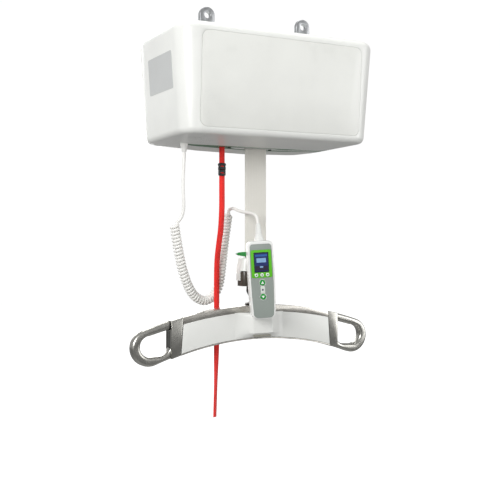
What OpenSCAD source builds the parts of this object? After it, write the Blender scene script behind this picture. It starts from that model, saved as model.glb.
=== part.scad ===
// Overhead patient hoist: a motor casing hung from two lugs, a lift strap, a
// quick-release bracket, a two-hook sling bar, a handset on a curly cord and a
// red pull strap for emergency lowering.
// The origin is midway between the two lug holes. +Z is up, +X runs along the
// casing and the bar, and the front faces -Y.

/* [Casing] */
// Width of the casing at its top edge
casing_top_w = 434; // [424:1:450]
// Width of the casing at its bottom edge
casing_bottom_w = 410; // [404:1:424]
// Depth of the casing at its top edge
casing_top_d = 250; // [244:1:260]
// Depth of the casing at its bottom edge
casing_bottom_d = 230; // [226:1:240]
// Wall of the moulded shells
casing_wall = 3; // [2.5:0.5:4]

/* [Suspension] */
// Distance between the two lug holes
lug_spacing = 220; // [200:1:240]
// Radius of a lug hole
lug_hole_r = 6.5; // [5:0.25:8]

/* [Strap] */
// Width of the lift strap
strap_w = 48; // [44:1:49]
// Thickness of the lift strap
strap_t = 2.4; // [1.8:0.2:2.6]

/* [Sling bar] */
// Height of the hook level below the origin
bar_level = -644; // [-650:1:-640]
// Height of the bar at its middle
bar_h = 68; // [66:1:70]
// Thickness of the bar's body, front to back
bar_t = 31; // [29:0.5:32]
// Radius of the rounded end of each hook
hook_end_r = 36.3; // [36:0.1:36.6]

/* [Handset] */
// Width of the handset
handset_w = 51.6; // [50:0.4:53]
// Height of the handset
handset_h = 153; // [151:1:155]
// Thickness of the handset
handset_t = 26; // [25:1:27]

/* [Cords] */
// Diameter of the curly cord's wire
cord_d = 6.4; // [6:0.1:6.6]
// Outer diameter of the curly cord's coil
coil_d = 20; // [19:0.5:20.5]
// Width of the red pull strap
pull_w = 12; // [10:0.5:12]

/* [Hidden] */
e = 0.01;

// Casing levels
casing_top = -42;
front_edge_z = -248;
rear_edge_z = -252;
belly_z = -265.5;
top_corner_r = 42;
bottom_corner_r = 38;
top_edge_r = 16;
bottom_edge_r = 12;
belly_y = 55;
belly_r = 62;
belly_x = 125;
strip_half = 178;
strip_w = 27;
// Where the back cover meets the main shell
split_y = 82;
screw_head_r = 4;
screw_zs = [-90, -215];
label_y = [-71, 47];
label_z = [-162, -92];

// Lug and chassis
lug_w = 32;
lug_t = 10;
plate_top = -56;
plate_t = 6;
cheek_in = 33;
cheek_t = 6;

// Drum
wound_r = 44 + strap_t / 2;
drum_y = 44;
drum_z = -132;
shaft_r = 10;
hub_r = 22;
flange_r = 58;
bearing_r = 21;

// Pull strap and gland
pull_x = -76;
gland_x = -158;

// Bracket
bracket_top = -480;
bracket_bottom = -527;
bracket_half_w = 39;
bracket_half_d = 19;
bracket_corner_r = 12;
bracket_wall = 2.2;
block_half_w = bracket_half_w - bracket_wall - 0.3;
block_half_d = bracket_half_d - bracket_wall - 0.3;
strap_pin_half = 32;
strap_pin_r = 4;
strap_pin_z = -489.5;
ear_r = 6.2;
ear_x = 25.5;
ear_t = 5;
block_top = -509;
block_bottom = -538;
stem_r = 13;

// Sling bar arcs, heights counted from the hook level
bar_top = bar_h - 1;
bar_bottom = -1;
arc_top_r = 780;
arc_bottom_r = 630;
top_c = bar_top - arc_top_r;
bottom_c = bar_bottom - arc_bottom_r;
// Centre of the end circle that touches both arcs from inside
end_gap = bottom_c - top_c;
end_diff = pow(arc_top_r - hook_end_r, 2) - pow(arc_bottom_r + hook_end_r, 2);
end_z = (end_diff / end_gap + top_c + bottom_c) / 2;
end_x = sqrt(pow(arc_top_r - hook_end_r, 2) - pow(end_z - top_c, 2));
// Opening of a hook: a round outer part and a wider inner part
hole_x = 231;
hole_r = 20.5;
hole_z = -4.5;
face_x = 190.5;
hole_in_x = 212;
hole_in_r = hole_in_x - face_x;
slit_w = 2.6;
ring_t = 21;
panel_end_x = 167;
band_h = 12.5;
lip_h = 2.5;
panel_t = 2.5;

// Hub cover: half width of its flat face, how far it stands out, its flow
hub_half = 21.5;
hub_out = 17.4;
hub_flow = 34;

// Latch
latch_x = face_x - 6.5;
latch_z = -17;
latch_w = 15;
pin_r = 2;

// Handset place: centre, lean of its top to the left, turn towards the left
handset_c = [-18.1, -57.6, -523];
handset_lean = -3.2;
handset_turn = -18;
// Round buttons on the face: a row of three, then up and down
small_button_z = 9.8;
small_button_pitch = 11.2;
up_z = -5.5;
down_z = -32.9;
button_r = 5.6;
small_button_r = 3.4;
// Display and the bezel round it
display_z = 34.5;
display_w = 29.3;
display_h = 39;
bezel_z = 31.7;
bezel_w = 41;
bezel_h = 54.4;
// Sides of the handset: widest height and how fast they curve in
widest_z = 15;
side_curve = 0.00034;
face_rim = 3.3;
face_top = 70.5;
face_foot = -74.5;

// Release lever
lever_x = 12;
lever_z = -483;

// Routes of the free cords, points chosen by hand
straight_route = [
  [-158, 0, -272], [-158, 0, -284], [-159, 0, -300], [-160, 0, -325],
  [-160, 0, -350], [-159, 0, -371], [-159, 1, -386], [-162, 3, -399],
  [-167, 5, -407], [-170, 6, -410]
];
coil_route = [
  [-176, 6, -416], [-172, 8, -435], [-163, 13, -474], [-152, 19, -508],
  [-138, 26, -537], [-120, 34, -558], [-98, 41, -568], [-78, 46, -563],
  [-65, 47, -548], [-58, 47, -527], [-53, 46, -486], [-50, 41, -443],
  [-48, 34, -408], [-48, 29, -390]
];
lead_route = [
  [-48, 29, -390], [-46, 26, -383], [-42, 17, -381], [-37, 3, -386],
  [-33, -14, -389], [-29, -31, -391], [-26, -44, -394], [-24.4, -52, -401],
  [-24.2, -55.2, -412]
];
pull_route_upper = [[-76, 0, -257], [-76, 0, -268], [-76, 0, -280], [-76, 0, -291]];
pull_route_lower = [
  [-76, 0, -317], [-76, 0, -345], [-76, 0, -375], [-76, 2, -400], [-75, 8, -425],
  [-74, 18, -452], [-73, 27, -478], [-72, 31, -500], [-72, 31.5, -530],
  [-72, 31.5, -580], [-72, 31.5, -640], [-73, 31, -690], [-75, 30, -740],
  [-78, 29, -804]
];

// ---------- helpers ----------

// Points of an arc about c from angle a0 to a1
function arc(c, r, a0, a1, steps) =
  [for (i = [0 : steps]) let (w = a0 + (a1 - a0) * i / steps) c + r * [cos(w), sin(w)]];

function unit(v) = v / norm(v);

// Point at share t between b and c on a smooth curve through a, b, c, d
function through(a, b, c, d, t) =
  0.5 * (2 * b + (c - a) * t + (2 * a - 5 * b + 4 * c - d) * t * t
  + (3 * b - a - 3 * c + d) * t * t * t);

// A route with one smooth point added between each pair
function smooth(p) = [
  for (i = [0 : len(p) - 2], t = [0, 0.5])
    through(p[max(i - 1, 0)], p[i], p[i + 1], p[min(i + 2, len(p) - 1)], t),
  p[len(p) - 1]
];

function heading(p, i) = unit(p[min(i + 1, len(p) - 1)] - p[max(i - 1, 0)]);

// A closed tube of section half-sizes a (across) and b along the points p;
// side names an axis that the route never follows
module sweep(p, a, b, side, sides = 8) {
  rings = [
    for (i = [0 : len(p) - 1])
      let (t = heading(p, i), v = unit(cross(t, side)), u = cross(v, t))
        for (k = [0 : sides - 1])
          let (w = 360 * (k + 0.5) / sides)
            p[i] + u * a * cos(w) + v * b * sin(w)
  ];
  last = len(p) - 1;
  walls = [
    for (i = [0 : last - 1], k = [0 : sides - 1])
      let (n = (k + 1) % sides, q = i * sides)
        [q + k, q + n, q + sides + n, q + sides + k]
  ];
  start_cap = [for (k = [sides - 1 : -1 : 0]) k];
  end_cap = [for (k = [0 : sides - 1]) last * sides + k];
  polyhedron(rings, concat([start_cap, end_cap], walls), convexity = 6);
}

// Flat rectangle with round corners, exact arcs
module round_rect(w, h, r) {
  square([w - 2 * r, h], center = true);
  square([w, h - 2 * r], center = true);
  for (x = [-1, 1], y = [-1, 1])
    translate([x * (w / 2 - r), y * (h / 2 - r)]) circle(r, $fn = 40);
}

// Draws a front-view outline (X, Z) as a slab from y0 to y1
module slab(y0, y1) {
  translate([0, y1, 0]) rotate([90, 0, 0]) linear_extrude(y1 - y0, convexity = 6) children();
}

module rod_x(x0, x1, r) {
  translate([x0, 0, 0]) rotate([0, 90, 0]) cylinder(x1 - x0, r, r, $fn = 64);
}

module rod_y(y0, y1, r) {
  translate([0, y1, 0]) rotate([90, 0, 0]) cylinder(y1 - y0, r, r, $fn = 48);
}

// ---------- casing ----------

module corner_ring(w, d, corner_r, edge_r, z) {
  for (x = [-1, 1], y = [-1, 1])
    translate([x * (w / 2 - corner_r), y * (d / 2 - corner_r), z])
      rotate_extrude($fn = 40) translate([corner_r - edge_r, 0]) circle(edge_r, $fn = 24);
}

// Outer form of the casing, moved inwards by inset all over
module casing_form(inset) {
  top_r = top_edge_r - inset;
  low_r = bottom_edge_r - inset;
  hull() {
    corner_ring(casing_top_w - 2 * inset, casing_top_d - 2 * inset,
      top_corner_r - inset, top_r, casing_top - top_edge_r);
    intersection() {
      corner_ring(casing_bottom_w - 2 * inset, casing_bottom_d - 2 * inset,
        bottom_corner_r - inset, low_r, front_edge_z + bottom_edge_r);
      translate([-300, -300, -400]) cube([600, 300, 400]);
    }
    intersection() {
      corner_ring(casing_bottom_w - 2 * inset, casing_bottom_d - 2 * inset,
        bottom_corner_r - inset, low_r, rear_edge_z + bottom_edge_r);
      translate([-300, 0, -400]) cube([600, 300, 400]);
    }
    for (x = [-1, 0, 1])
      translate([x * belly_x, belly_y, belly_z + belly_r + 3 * abs(x)])
        sphere(belly_r - inset, $fn = 40);
  }
}

// The lens outline of the underside strip, which ends at the cord gland
module lens(extra = 0) {
  half_w = strip_w / 2 + extra;
  half_l = strip_half + extra;
  r = (half_l * half_l + half_w * half_w) / (2 * half_w);
  intersection() {
    translate([0, r - half_w]) circle(r, $fn = 720);
    translate([0, half_w - r]) circle(r, $fn = 720);
    translate([gland_x, -50]) square([400, 100]);
  }
}

module casing_shell() {
  difference() {
    casing_form(0);
    casing_form(casing_wall);
    translate([0, 0, -300]) linear_extrude(120) lens();
    translate([gland_x, 0, -290]) cylinder(60, 7.9, 7.9, $fn = 48);
    for (x = [-1, 1])
      translate([x * lug_spacing / 2 - lug_w / 2 - 1, -lug_t / 2 - 1, -70]) cube([lug_w + 2, lug_t + 2, 60]);
  }
}

// Main shell: front, ends, top and underside
module casing_front() {
  color("whitesmoke") difference() {
    casing_shell();
    translate([-300, split_y, -400]) cube([600, 300, 500]);
    front_panel_block(1.5, 0.4);
  }
}

// Back cover
module casing_rear() {
  color("whitesmoke") difference() {
    casing_shell();
    translate([-300, split_y - 300, -400]) cube([600, 300, 500]);
    casing_screw_places() rod_y(split_y + 5, 200, screw_head_r + 0.2);
  }
}

// Slab that cuts the front panel's outline out of the front wall
module front_panel_block(depth, extra) {
  panel_half = 175 + extra;
  panel_low = -235 - extra;
  panel_high = -60 + extra;
  intersection() {
    difference() {
      casing_form(extra - 0.4);
      casing_form(depth);
    }
    slab(-200, -60)
      translate([0, (panel_low + panel_high) / 2]) round_rect(2 * panel_half, panel_high - panel_low, 14);
  }
}

module front_panel() {
  color("gainsboro") front_panel_block(1.5, 0);
}

// Blank data plate on the left end
module side_label() {
  color("silver") intersection() {
    difference() {
      casing_form(-0.5);
      casing_form(0);
    }
    translate([-240, label_y[0], label_z[0]])
      cube([60, label_y[1] - label_y[0], label_z[1] - label_z[0]]);
  }
}

// Lens-shaped plate that closes the underside where the straps leave
module underside_strip() {
  color("darkseagreen") difference() {
    intersection() {
      difference() {
        casing_form(-0.6);
        casing_form(casing_wall - 0.2);
      }
      translate([0, 0, -300]) linear_extrude(120) lens(-0.3);
    }
    translate([-26, -3.5, -290]) cube([52, 7, 60]);
    translate([pull_x - 9, -3.5, -290]) cube([18, 7, 60]);
    translate([gland_x, 0, -290]) cylinder(60, 8, 8, $fn = 48);
  }
}

// Outside of the rear wall at height z
function rear_wall_y(z) =
  casing_top_d / 2 - (casing_top_d - casing_bottom_d) / 2
  * (casing_top - top_edge_r - z) / (casing_top - top_edge_r - rear_edge_z - bottom_edge_r);

module casing_screw_places() {
  for (x = [-150, 150], z = screw_zs)
    translate([x, 0, z]) children();
}

// Countersunk screws with their heads just inside the rear wall
module casing_screws() {
  color("dimgray") for (x = [-150, 150], z = screw_zs)
    translate([x, rear_wall_y(z), z]) {
      rod_y(-3, -0.5, screw_head_r);
      rod_y(-16, -3 + e, 2);
    }
}

// ---------- frame, drive and power ----------

module chassis() {
  color("slategray") difference() {
    union() {
      translate([-188, -38, plate_top - plate_t]) cube([376, 130, plate_t]);
      for (x = [-cheek_in - cheek_t, cheek_in])
        translate([x, -32, -212]) cube([cheek_t, 120, 212 + plate_top - plate_t + e]);
    }
    translate([0, drum_y, drum_z]) rod_x(-60, 60, bearing_r);
    for (x = [-1, 1])
      translate([x * lug_spacing / 2 - 16, -lug_t / 2, -70]) cube([32, lug_t, 30]);
  }
}

module suspension_lugs() {
  color("lightsteelblue") for (x = [-1, 1])
    translate([x * lug_spacing / 2, 0, 0]) difference() {
      union() {
        rod_y(-lug_t / 2, lug_t / 2, lug_w / 2);
        translate([-lug_w / 2, -lug_t / 2, plate_top - plate_t]) cube([lug_w, lug_t, -plate_top + plate_t]);
      }
      rod_y(-lug_t, lug_t, lug_hole_r);
    }
}

module battery_tray() {
  color("darkslategray") difference() {
    translate([-190, -98, -214]) cube([150, 196, 2]);
    translate([-172, -14, -220]) cube([118, 28, 12]);
  }
}

module battery_packs() {
  color("royalblue") for (y = [-96, 16])
    translate([-182, y, -212]) cube([128, 78, 138]);
}

module control_board() {
  color("green") translate([50, -92, -212]) cube([140, 1.6, 130]);
  color("black") {
    for (i = [0 : 3])
      translate([62 + 32 * i, -90.4, -120]) cube([20, 12, 22]);
    translate([70, -90.4, -190]) cube([44, 6, 44]);
    translate([132, -90.4, -186]) cube([34, 16, 30]);
  }
}

module drum_bearings() {
  color("silver") translate([0, drum_y, drum_z]) for (x = [-1, 1])
    difference() {
      rod_x(x * 39 - 6, x * 39 + 6, bearing_r);
      rod_x(-60, 60, shaft_r + 0.1);
    }
}

module gearbox() {
  color("gray") translate([0, drum_y, drum_z]) difference() {
    rod_x(39, 104, 41);
    rod_x(30, 45.5, bearing_r);
    rod_x(40, 62, shaft_r + 0.3);
  }
}

module motor() {
  color("dimgray") translate([0, drum_y, drum_z]) rod_x(104, 174, 31);
}

module brake() {
  color("black") translate([0, drum_y, drum_z]) rod_x(174, 192, 27);
}

module strap_guide() {
  color("black") difference() {
    translate([-33, -9, -255.5]) cube([66, 18, 21.5]);
    translate([-26, -3, -260]) cube([52, 6, 40]);
  }
}

module pull_switch() {
  color("darkred") difference() {
    translate([pull_x - 15, -12, -236]) cube([30, 24, 30]);
    translate([pull_x, 0, -240]) cylinder(40, 3.3, 3.3, $fn = 48);
  }
}

module cord_gland() {
  color("white") translate([gland_x, 0, 0]) difference() {
    union() {
      translate([0, 0, -258]) cylinder(20, 7.6, 7.6, $fn = 48);
      translate([0, 0, -272]) cylinder(14, 4.6, 7.6, $fn = 48);
    }
    translate([0, 0, -230]) mirror([0, 0, 1]) cylinder(35, cord_d / 2, cord_d / 2, $fn = 48);
  }
}

// ---------- drum ----------

module drum() {
  color("darkgray") translate([0, drum_y, drum_z]) difference() {
    union() {
      rod_x(-28, 28, hub_r);
      for (x = [-28, 25])
        rod_x(x, x + 3, flange_r);
    }
    rod_x(-40, 40, shaft_r);
  }
}

module drum_shaft() {
  color("silver") translate([0, drum_y, drum_z]) rod_x(-47, 58, shaft_r);
}

module strap_wound() {
  color("lightgray") translate([0, drum_y, drum_z]) difference() {
    rod_x(-strap_w / 2, strap_w / 2, wound_r);
    rod_x(-40, 40, hub_r);
  }
}

// ---------- pull strap ----------

module pull_rod() {
  color("silver") {
    translate([pull_x, 0, -252]) cylinder(40, 3, 3, $fn = 48);
    translate([pull_x - 7, -1.8, -257]) cube([14, 3.6, 5]);
  }
}

module pull_strap_upper() {
  color("red") sweep(pull_route_upper, pull_w / 2, 0.9, [1, 0, 0]);
}

module buckle_socket() {
  color("black") slab(-3.2, 3.2) translate([pull_x, -297.5]) round_rect(16, 13, 3);
}

module buckle_plug() {
  color("black") slab(-2.6, 2.6) translate([pull_x, -310.5]) round_rect(15, 13, 2.5);
}

module pull_strap_lower() {
  color("red") sweep(smooth(pull_route_lower), pull_w / 2, 0.9, [1, 0, 0]);
}

// ---------- lift strap and bracket ----------

module lift_strap() {
  color("lightgray") translate([-strap_w / 2, -strap_t / 2, -485.2]) cube([strap_w, strap_t, 335.2]);
}

module strap_pin() {
  color("silver") translate([0, 0, strap_pin_z]) rod_x(-strap_pin_half, strap_pin_half, strap_pin_r);
}

// Outline of the bracket cover, seen from the front
module bracket_outline(inset) {
  half = bracket_half_w - inset;
  top = bracket_top - inset;
  foot = bracket_bottom + inset;
  polygon([
    [7.5 - half, top], [half - 7.5, top], [half - 4.8, top - 2.5], [half, bracket_top - 28],
    [half, foot + 4], [half - 1.5, foot], [1.5 - half, foot], [-half, foot + 4],
    [-half, bracket_top - 28], [4.8 - half, top - 2.5]
  ]);
}

// Block of the cover's shape with rounded upright corners
module bracket_form(inset) {
  intersection() {
    slab(inset - bracket_half_d, bracket_half_d - inset) bracket_outline(inset);
    translate([0, 0, bracket_bottom - 1]) linear_extrude(60) round_rect(
      2 * (bracket_half_w - inset), 2 * (bracket_half_d - inset), bracket_corner_r - inset
    );
  }
}

module bracket_half(y0, y1) {
  difference() {
    intersection() {
      bracket_form(0);
      translate([-60, y0, -600]) cube([120, y1 - y0, 200]);
    }
    bracket_form(bracket_wall);
    // Open foot
    translate([0, 0, bracket_bottom - 1]) linear_extrude(10) round_rect(
      2 * (bracket_half_w - bracket_wall), 2 * (bracket_half_d - bracket_wall), bracket_corner_r - bracket_wall
    );
    // Slot for the strap
    translate([-25.5, -3, -500]) cube([51, 6, 60]);
    // Window at the front that shows the coupling block
    translate([-60, -40, block_top - 38.6]) cube([120, 34, 40]);
    // Room for the release lever's eye
    translate([lever_x - 18, -14.5, lever_z - 5.5]) cube([32, 10.5, 40]);
  }
}

// Front half, with a boss inside it that holds the lever's pin
module bracket_front() {
  color("white") difference() {
    union() {
      bracket_half(-bracket_half_d, 0);
      translate([lever_x - 6, -17.5, lever_z - 8]) cube([12, 3, 10]);
    }
    translate([lever_x, 0, lever_z]) rod_y(-16.7, 10, pin_r);
  }
}

module bracket_rear() {
  color("white") bracket_half(0, bracket_half_d);
}

// Block that carries the sling bar, with two ears for the strap's pin
module coupling_block() {
  color("#3a3128") difference() {
    union() {
      translate([0, 0, block_bottom]) linear_extrude(block_top - block_bottom)
        round_rect(2 * block_half_w, 2 * block_half_d, bracket_corner_r - bracket_wall);
      for (x = [ear_x, -ear_x - ear_t])
        translate([x, 0, 0]) rotate([90, 0, 90]) linear_extrude(ear_t) polygon(concat(
          [[-ear_r, block_top - 4], [ear_r, block_top - 4]], arc([0, strap_pin_z], ear_r, 0, 180, 24)
        ));
    }
    translate([0, 0, block_bottom - 1]) cylinder(40, stem_r + 0.4, stem_r + 0.4, $fn = 64);
    translate([0, 0, strap_pin_z]) rod_x(-bracket_half_w, bracket_half_w, strap_pin_r + 0.1);
  }
}

module lever_pin() {
  color("silver") translate([lever_x, 0, lever_z]) rod_y(-16.6, -6.4, pin_r);
}

// Tab that frees the sling bar: a slim arm that ends in an eye on the pin
module release_lever() {
  color("limegreen") slab(-13.5, -6.5) difference() {
    polygon(concat(
      [[-50, -472.5], [-44, -469.8], [-34, -469], [-22, -469.4], [-6, -472], [9, -476.8]],
      arc([lever_x, lever_z], 5, 80, -160, 20),
      [[4, -481.5], [-4, -479.2], [-24, -478.7], [-36, -477.4], [-44, -476]]
    ));
    translate([lever_x, lever_z]) circle(pin_r + 0.25, $fn = 40);
  }
}

// ---------- handset ----------

module at_handset() {
  translate(handset_c) rotate([0, handset_lean, handset_turn]) children();
}

// Half width at height z of an outline that is half_w wide at its widest
function barrel(half_w, z) = half_w - side_curve * pow(z - widest_z, 2);

// Front-view outline with curved sides, from the foot to the top
module barrel_outline(half_w, foot, top, foot_r, top_r) {
  foot_x = barrel(half_w, foot + foot_r) - foot_r;
  top_x = barrel(half_w, top - top_r) - top_r;
  side = [for (i = [1 : 7]) foot + foot_r + i * (top - top_r - foot - foot_r) / 8];
  polygon(concat(
    arc([foot_x, foot + foot_r], foot_r, -90, 0, 10),
    [for (z = side) [barrel(half_w, z), z]],
    arc([top_x, top - top_r], top_r, 0, 90, 10),
    arc([-top_x, top - top_r], top_r, 90, 180, 10),
    [for (i = [6 : -1 : 0]) [-barrel(half_w, side[i]), side[i]]],
    arc([-foot_x, foot + foot_r], foot_r, 180, 270, 10)
  ));
}

module handset_outline(inset) {
  barrel_outline(handset_w / 2 - inset, inset - handset_h / 2, handset_h / 2 - inset, 12 - inset, 9 - inset);
}

module button_holes(extra) {
  for (i = [-1 : 1])
    translate([i * small_button_pitch, 0, small_button_z]) rod_y(-40, -2, small_button_r + extra);
  for (z = [up_z, down_z])
    translate([0, 0, z]) rod_y(-40, -2, button_r + extra);
}

module handset_front() {
  color("white") at_handset() difference() {
    slab(-handset_t / 2, 0) handset_outline(0);
    slab(-handset_t / 2 + 2.4, 1) handset_outline(2.4);
    slab(-20, -handset_t / 2 + 1.2) face_outline(0);
    slab(-20, -5) display_hole();
    button_holes(0.8);
  }
}

module handset_rear() {
  color("white") at_handset() difference() {
    union() {
      slab(0, handset_t / 2) handset_outline(0);
      // Hanging loop on the back
      translate([-9, handset_t / 2 - e, 13.5]) cube([18, 9, 20]);
    }
    slab(-1, handset_t / 2 - 2.4) handset_outline(2.4);
    translate([-5.5, handset_t / 2 + 2, 7.5]) cube([11, 4, 24]);
    translate([-3.8, handset_t / 2 + 2, 7.5]) cube([7.6, 10, 20]);
  }
}

module display_hole() {
  translate([0, display_z]) round_rect(display_w + 0.4, display_h + 0.4, 1.5);
}

module face_outline(inset) {
  barrel_outline(handset_w / 2 - face_rim - inset, face_foot + inset, face_top - inset, 9 - inset, 6 - inset);
}

module faceplate() {
  color("darkgray") at_handset() difference() {
    slab(-handset_t / 2 - 0.2, -handset_t / 2 + 1.2) face_outline(0.2);
    slab(-20, 0) translate([0, bezel_z]) round_rect(bezel_w + 0.4, bezel_h + 0.4, 3);
    for (z = [up_z, down_z])
      translate([0, 0, z]) rod_y(-40, -2, button_r + 0.6);
  }
}

module display_bezel() {
  color("limegreen") at_handset() difference() {
    slab(-handset_t / 2 - 0.5, -handset_t / 2 + 1.2) translate([0, bezel_z]) round_rect(bezel_w, bezel_h, 3);
    slab(-20, 0) display_hole();
    for (i = [-1 : 1])
      translate([i * small_button_pitch, 0, small_button_z]) rod_y(-40, -2, small_button_r + 0.5);
  }
}

module display_window() {
  color("navy") at_handset() slab(-handset_t / 2, -handset_t / 2 + 2.2)
    translate([0, display_z]) round_rect(display_w, display_h, 1.3);
}

module handset_board() {
  color("green") at_handset() {
    translate([-20, -1, -60]) cube([40, 1.6, 118]);
    translate([-14, -9.5, 18]) cube([28, 8, 34]);
  }
}

module cord_collar() {
  color("white") at_handset() difference() {
    union() {
      translate([0, 0, 76.2]) cylinder(5.8, 9, 9, $fn = 48);
      translate([0, 0, 82]) cylinder(5, 8, 8, $fn = 48);
      translate([0, 0, 87]) cylinder(24, 6.6, 4, $fn = 48);
    }
    translate([0, 0, 92.5]) cylinder(30, cord_d / 2, cord_d / 2, $fn = 48);
    translate([0, 0, 76]) cube([40, 40, 1.2], center = true);
  }
}

module key(x, z, r, proud) {
  at_handset() translate([x, 0, z]) rod_y(-handset_t / 2 - proud, -3.5, r);
}

module button_up() { color("green") key(0, up_z, button_r, 1.4); }
module button_down() { color("green") key(0, down_z, button_r, 1.4); }
module button_left() { color("white") key(-small_button_pitch, small_button_z, small_button_r, 1.3); }
module button_middle() { color("white") key(0, small_button_z, small_button_r, 1.3); }
module button_right() { color("white") key(small_button_pitch, small_button_z, small_button_r, 1.3); }

// Plate, arm and T-head on the bracket that the handset hangs from
module handset_holder() {
  color("white") {
    translate([-20, -bracket_half_d - 3, -508]) cube([24, 3, 14]);
    at_handset() {
      translate([-3.2, handset_t / 2 + 5, 17.5]) cube([6.4, 20.5, 6]);
      translate([-4.8, handset_t / 2 + 2.4, 15.5]) cube([9.6, 3.2, 15.8]);
    }
  }
}

// ---------- sling bar ----------

// Crescent between the two arcs with tangent round ends, front view
module bar_outline(inset = 0) {
  intersection() {
    translate([0, top_c]) circle(arc_top_r - inset, $fn = 360);
    difference() {
      square([2 * end_x, 400], center = true);
      translate([0, bottom_c]) circle(arc_bottom_r + inset, $fn = 360);
    }
  }
}

module hook_outline() {
  bar_outline();
  for (x = [-end_x, end_x])
    translate([x, end_z]) circle(hook_end_r, $fn = 90);
}

// Opening of a hook, on the right-hand side
module hook_hole() {
  translate([hole_x, hole_z]) circle(hole_r, $fn = 72);
  translate([hole_in_x, hole_z + 2]) circle(hole_in_r, $fn = 72);
  polygon([
    [face_x, -2], [hole_in_x, hole_z + 2 - hole_in_r], [hole_x, hole_z - hole_r],
    [hole_x + hole_r - 0.5, hole_z], [hole_x, hole_z + hole_r], [face_x + 3, 27], [face_x, 27]
  ]);
}

module at_bar() {
  translate([0, 0, bar_level]) children();
}

// Cuts off everything nearer the middle than the slanted seam
module beyond_seam(gap) {
  polygon([
    [panel_end_x - 4 + gap, 80], [300, 80], [300, -80],
    [panel_end_x + 8 + gap, -80]
  ]);
}

// One hook casting, on the right-hand side
module hook_right_solid() {
  difference() {
    union() {
      slab(-bar_t / 2, bar_t / 2) intersection() {
        hook_outline();
        beyond_seam(0);
        translate([0, -100]) square([face_x, 200]);
      }
      slab(-ring_t / 2, ring_t / 2) intersection() {
        hook_outline();
        translate([face_x - e, -100]) square([200, 200]);
      }
    }
    slab(-30, 30) hook_hole();
    // Slit between the arm's tip and the body
    slab(-30, 30) polygon([
      [face_x, 20], [face_x + slit_w, 20], [face_x + slit_w, 60], [face_x, 60]
    ]);
    // Pocket that the latch swings into
    slab(-latch_w / 2 - 0.5, latch_w / 2 + 0.5) polygon([
      [face_x + 1, -23], [face_x + 1, 37], [face_x - 21, 37],
      [face_x - 21, 22], [face_x - 13, -23]
    ]);
    translate([latch_x, 0, latch_z]) rod_y(-12, 12, pin_r);
  }
}

module hook_right() {
  color("silver") at_bar() hook_right_solid();
}

module hook_left() {
  color("silver") at_bar() mirror([1, 0, 0]) hook_right_solid();
}

module bar_beam() {
  color("silver") at_bar() difference() {
    union() {
      slab(-bar_t / 2 + panel_t, bar_t / 2 - panel_t) intersection() {
        bar_outline();
        mid_span();
      }
      slab(-bar_t / 2, bar_t / 2) intersection() {
        difference() {
          bar_outline();
          translate([0, top_c]) circle(arc_top_r - band_h, $fn = 360);
        }
        mid_span();
      }
      slab(-bar_t / 2, bar_t / 2) intersection() {
        bar_outline();
        translate([0, bottom_c]) circle(arc_bottom_r + lip_h, $fn = 360);
        mid_span();
      }
    }
    cylinder(100, 10, 10, $fn = 64);
  }
}

// The stretch between the two slanted seams
module mid_span() {
  polygon([
    [4 - panel_end_x, 80], [panel_end_x - 4, 80], [panel_end_x + 8, -80],
    [-panel_end_x - 8, -80]
  ]);
}

module panel_outline() {
  intersection() {
    translate([0, top_c]) circle(arc_top_r - band_h, $fn = 360);
    difference() {
      mid_span();
      translate([0, bottom_c]) circle(arc_bottom_r + lip_h, $fn = 360);
    }
  }
}

module panel_front() {
  color("white") at_bar() slab(-bar_t / 2 - 0.4, -bar_t / 2 + panel_t) panel_outline();
}

module panel_rear() {
  color("white") at_bar() slab(bar_t / 2 - panel_t, bar_t / 2 + 0.4) panel_outline();
}

// Front of the hub cover at x: flat in the middle, flowing down to the panel
function hub_y(x) =
  -bar_t / 2 - 0.4
  - hub_out * (abs(x) <= hub_half ? 1 : (1 - cos(180 * (1 - (abs(x) - hub_half) / hub_flow))) / 2);

// Cover over the stem's nut: its sides flow into the front panel
module hub_cover() {
  reach = hub_half + hub_flow;
  color("white") at_bar() intersection() {
    translate([0, 0, 3]) linear_extrude(51) polygon(concat(
      [[reach, -bar_t / 2 - 0.4], [-reach, -bar_t / 2 - 0.4]],
      [for (x = [-reach + 3 : 3 : reach - 3]) [x, hub_y(x)]]
    ));
    slab(-60, 0) panel_outline();
  }
}

// Swivel stem: head in the coupling block, waisted neck, boss on the bar
module swivel_stem() {
  color("#4a4038") rotate_extrude($fn = 64) polygon([
    [0, bar_level + 24], [10, bar_level + 24], [10, bar_level + bar_top],
    [22, bar_level + bar_top], [22, bar_level + bar_top + 3],
    [19, bar_level + bar_top + 5], [12.5, bar_level + bar_top + 7], [12, -566], [13, -561],
    [16, -555], [18.8, -549], [18.8, block_bottom - 0.6], [stem_r, block_bottom - 0.6],
    [stem_r, -525], [9, -523], [9, -519], [stem_r, -517], [stem_r, -513],
    [9, -510.5], [0, -510.5]
  ]);
}

module latch_pins() {
  color("silver") at_bar() for (s = [-1, 1])
    translate([s * latch_x, 0, latch_z]) rod_y(-11.9, 11.9, pin_r);
}

// Spring flap that shuts the hook, on the right-hand side
module latch_solid() {
  slab(-latch_w / 2, latch_w / 2) difference() {
    union() {
      polygon([
        [face_x - 0.4, -14], [face_x - 0.4, 21], [face_x + 2, 23.5], [face_x + 2, 25.6],
        [face_x - 4.4, 25.6], [face_x - 4.4, -12], [latch_x - 3.6, -15], [latch_x, latch_z - 4.2]
      ]);
      translate([latch_x, latch_z]) circle(4.6, $fn = 48);
    }
    translate([latch_x, latch_z]) circle(pin_r + 0.2, $fn = 40);
  }
}

module latch_right() {
  color("dimgray") at_bar() latch_solid();
}

module latch_left() {
  color("dimgray") at_bar() mirror([1, 0, 0]) latch_solid();
}

// ---------- free cords ----------

module cord_straight() {
  color("white") sweep(smooth(straight_route), cord_d / 2, cord_d / 2, [0, 1, 0]);
}

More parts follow.
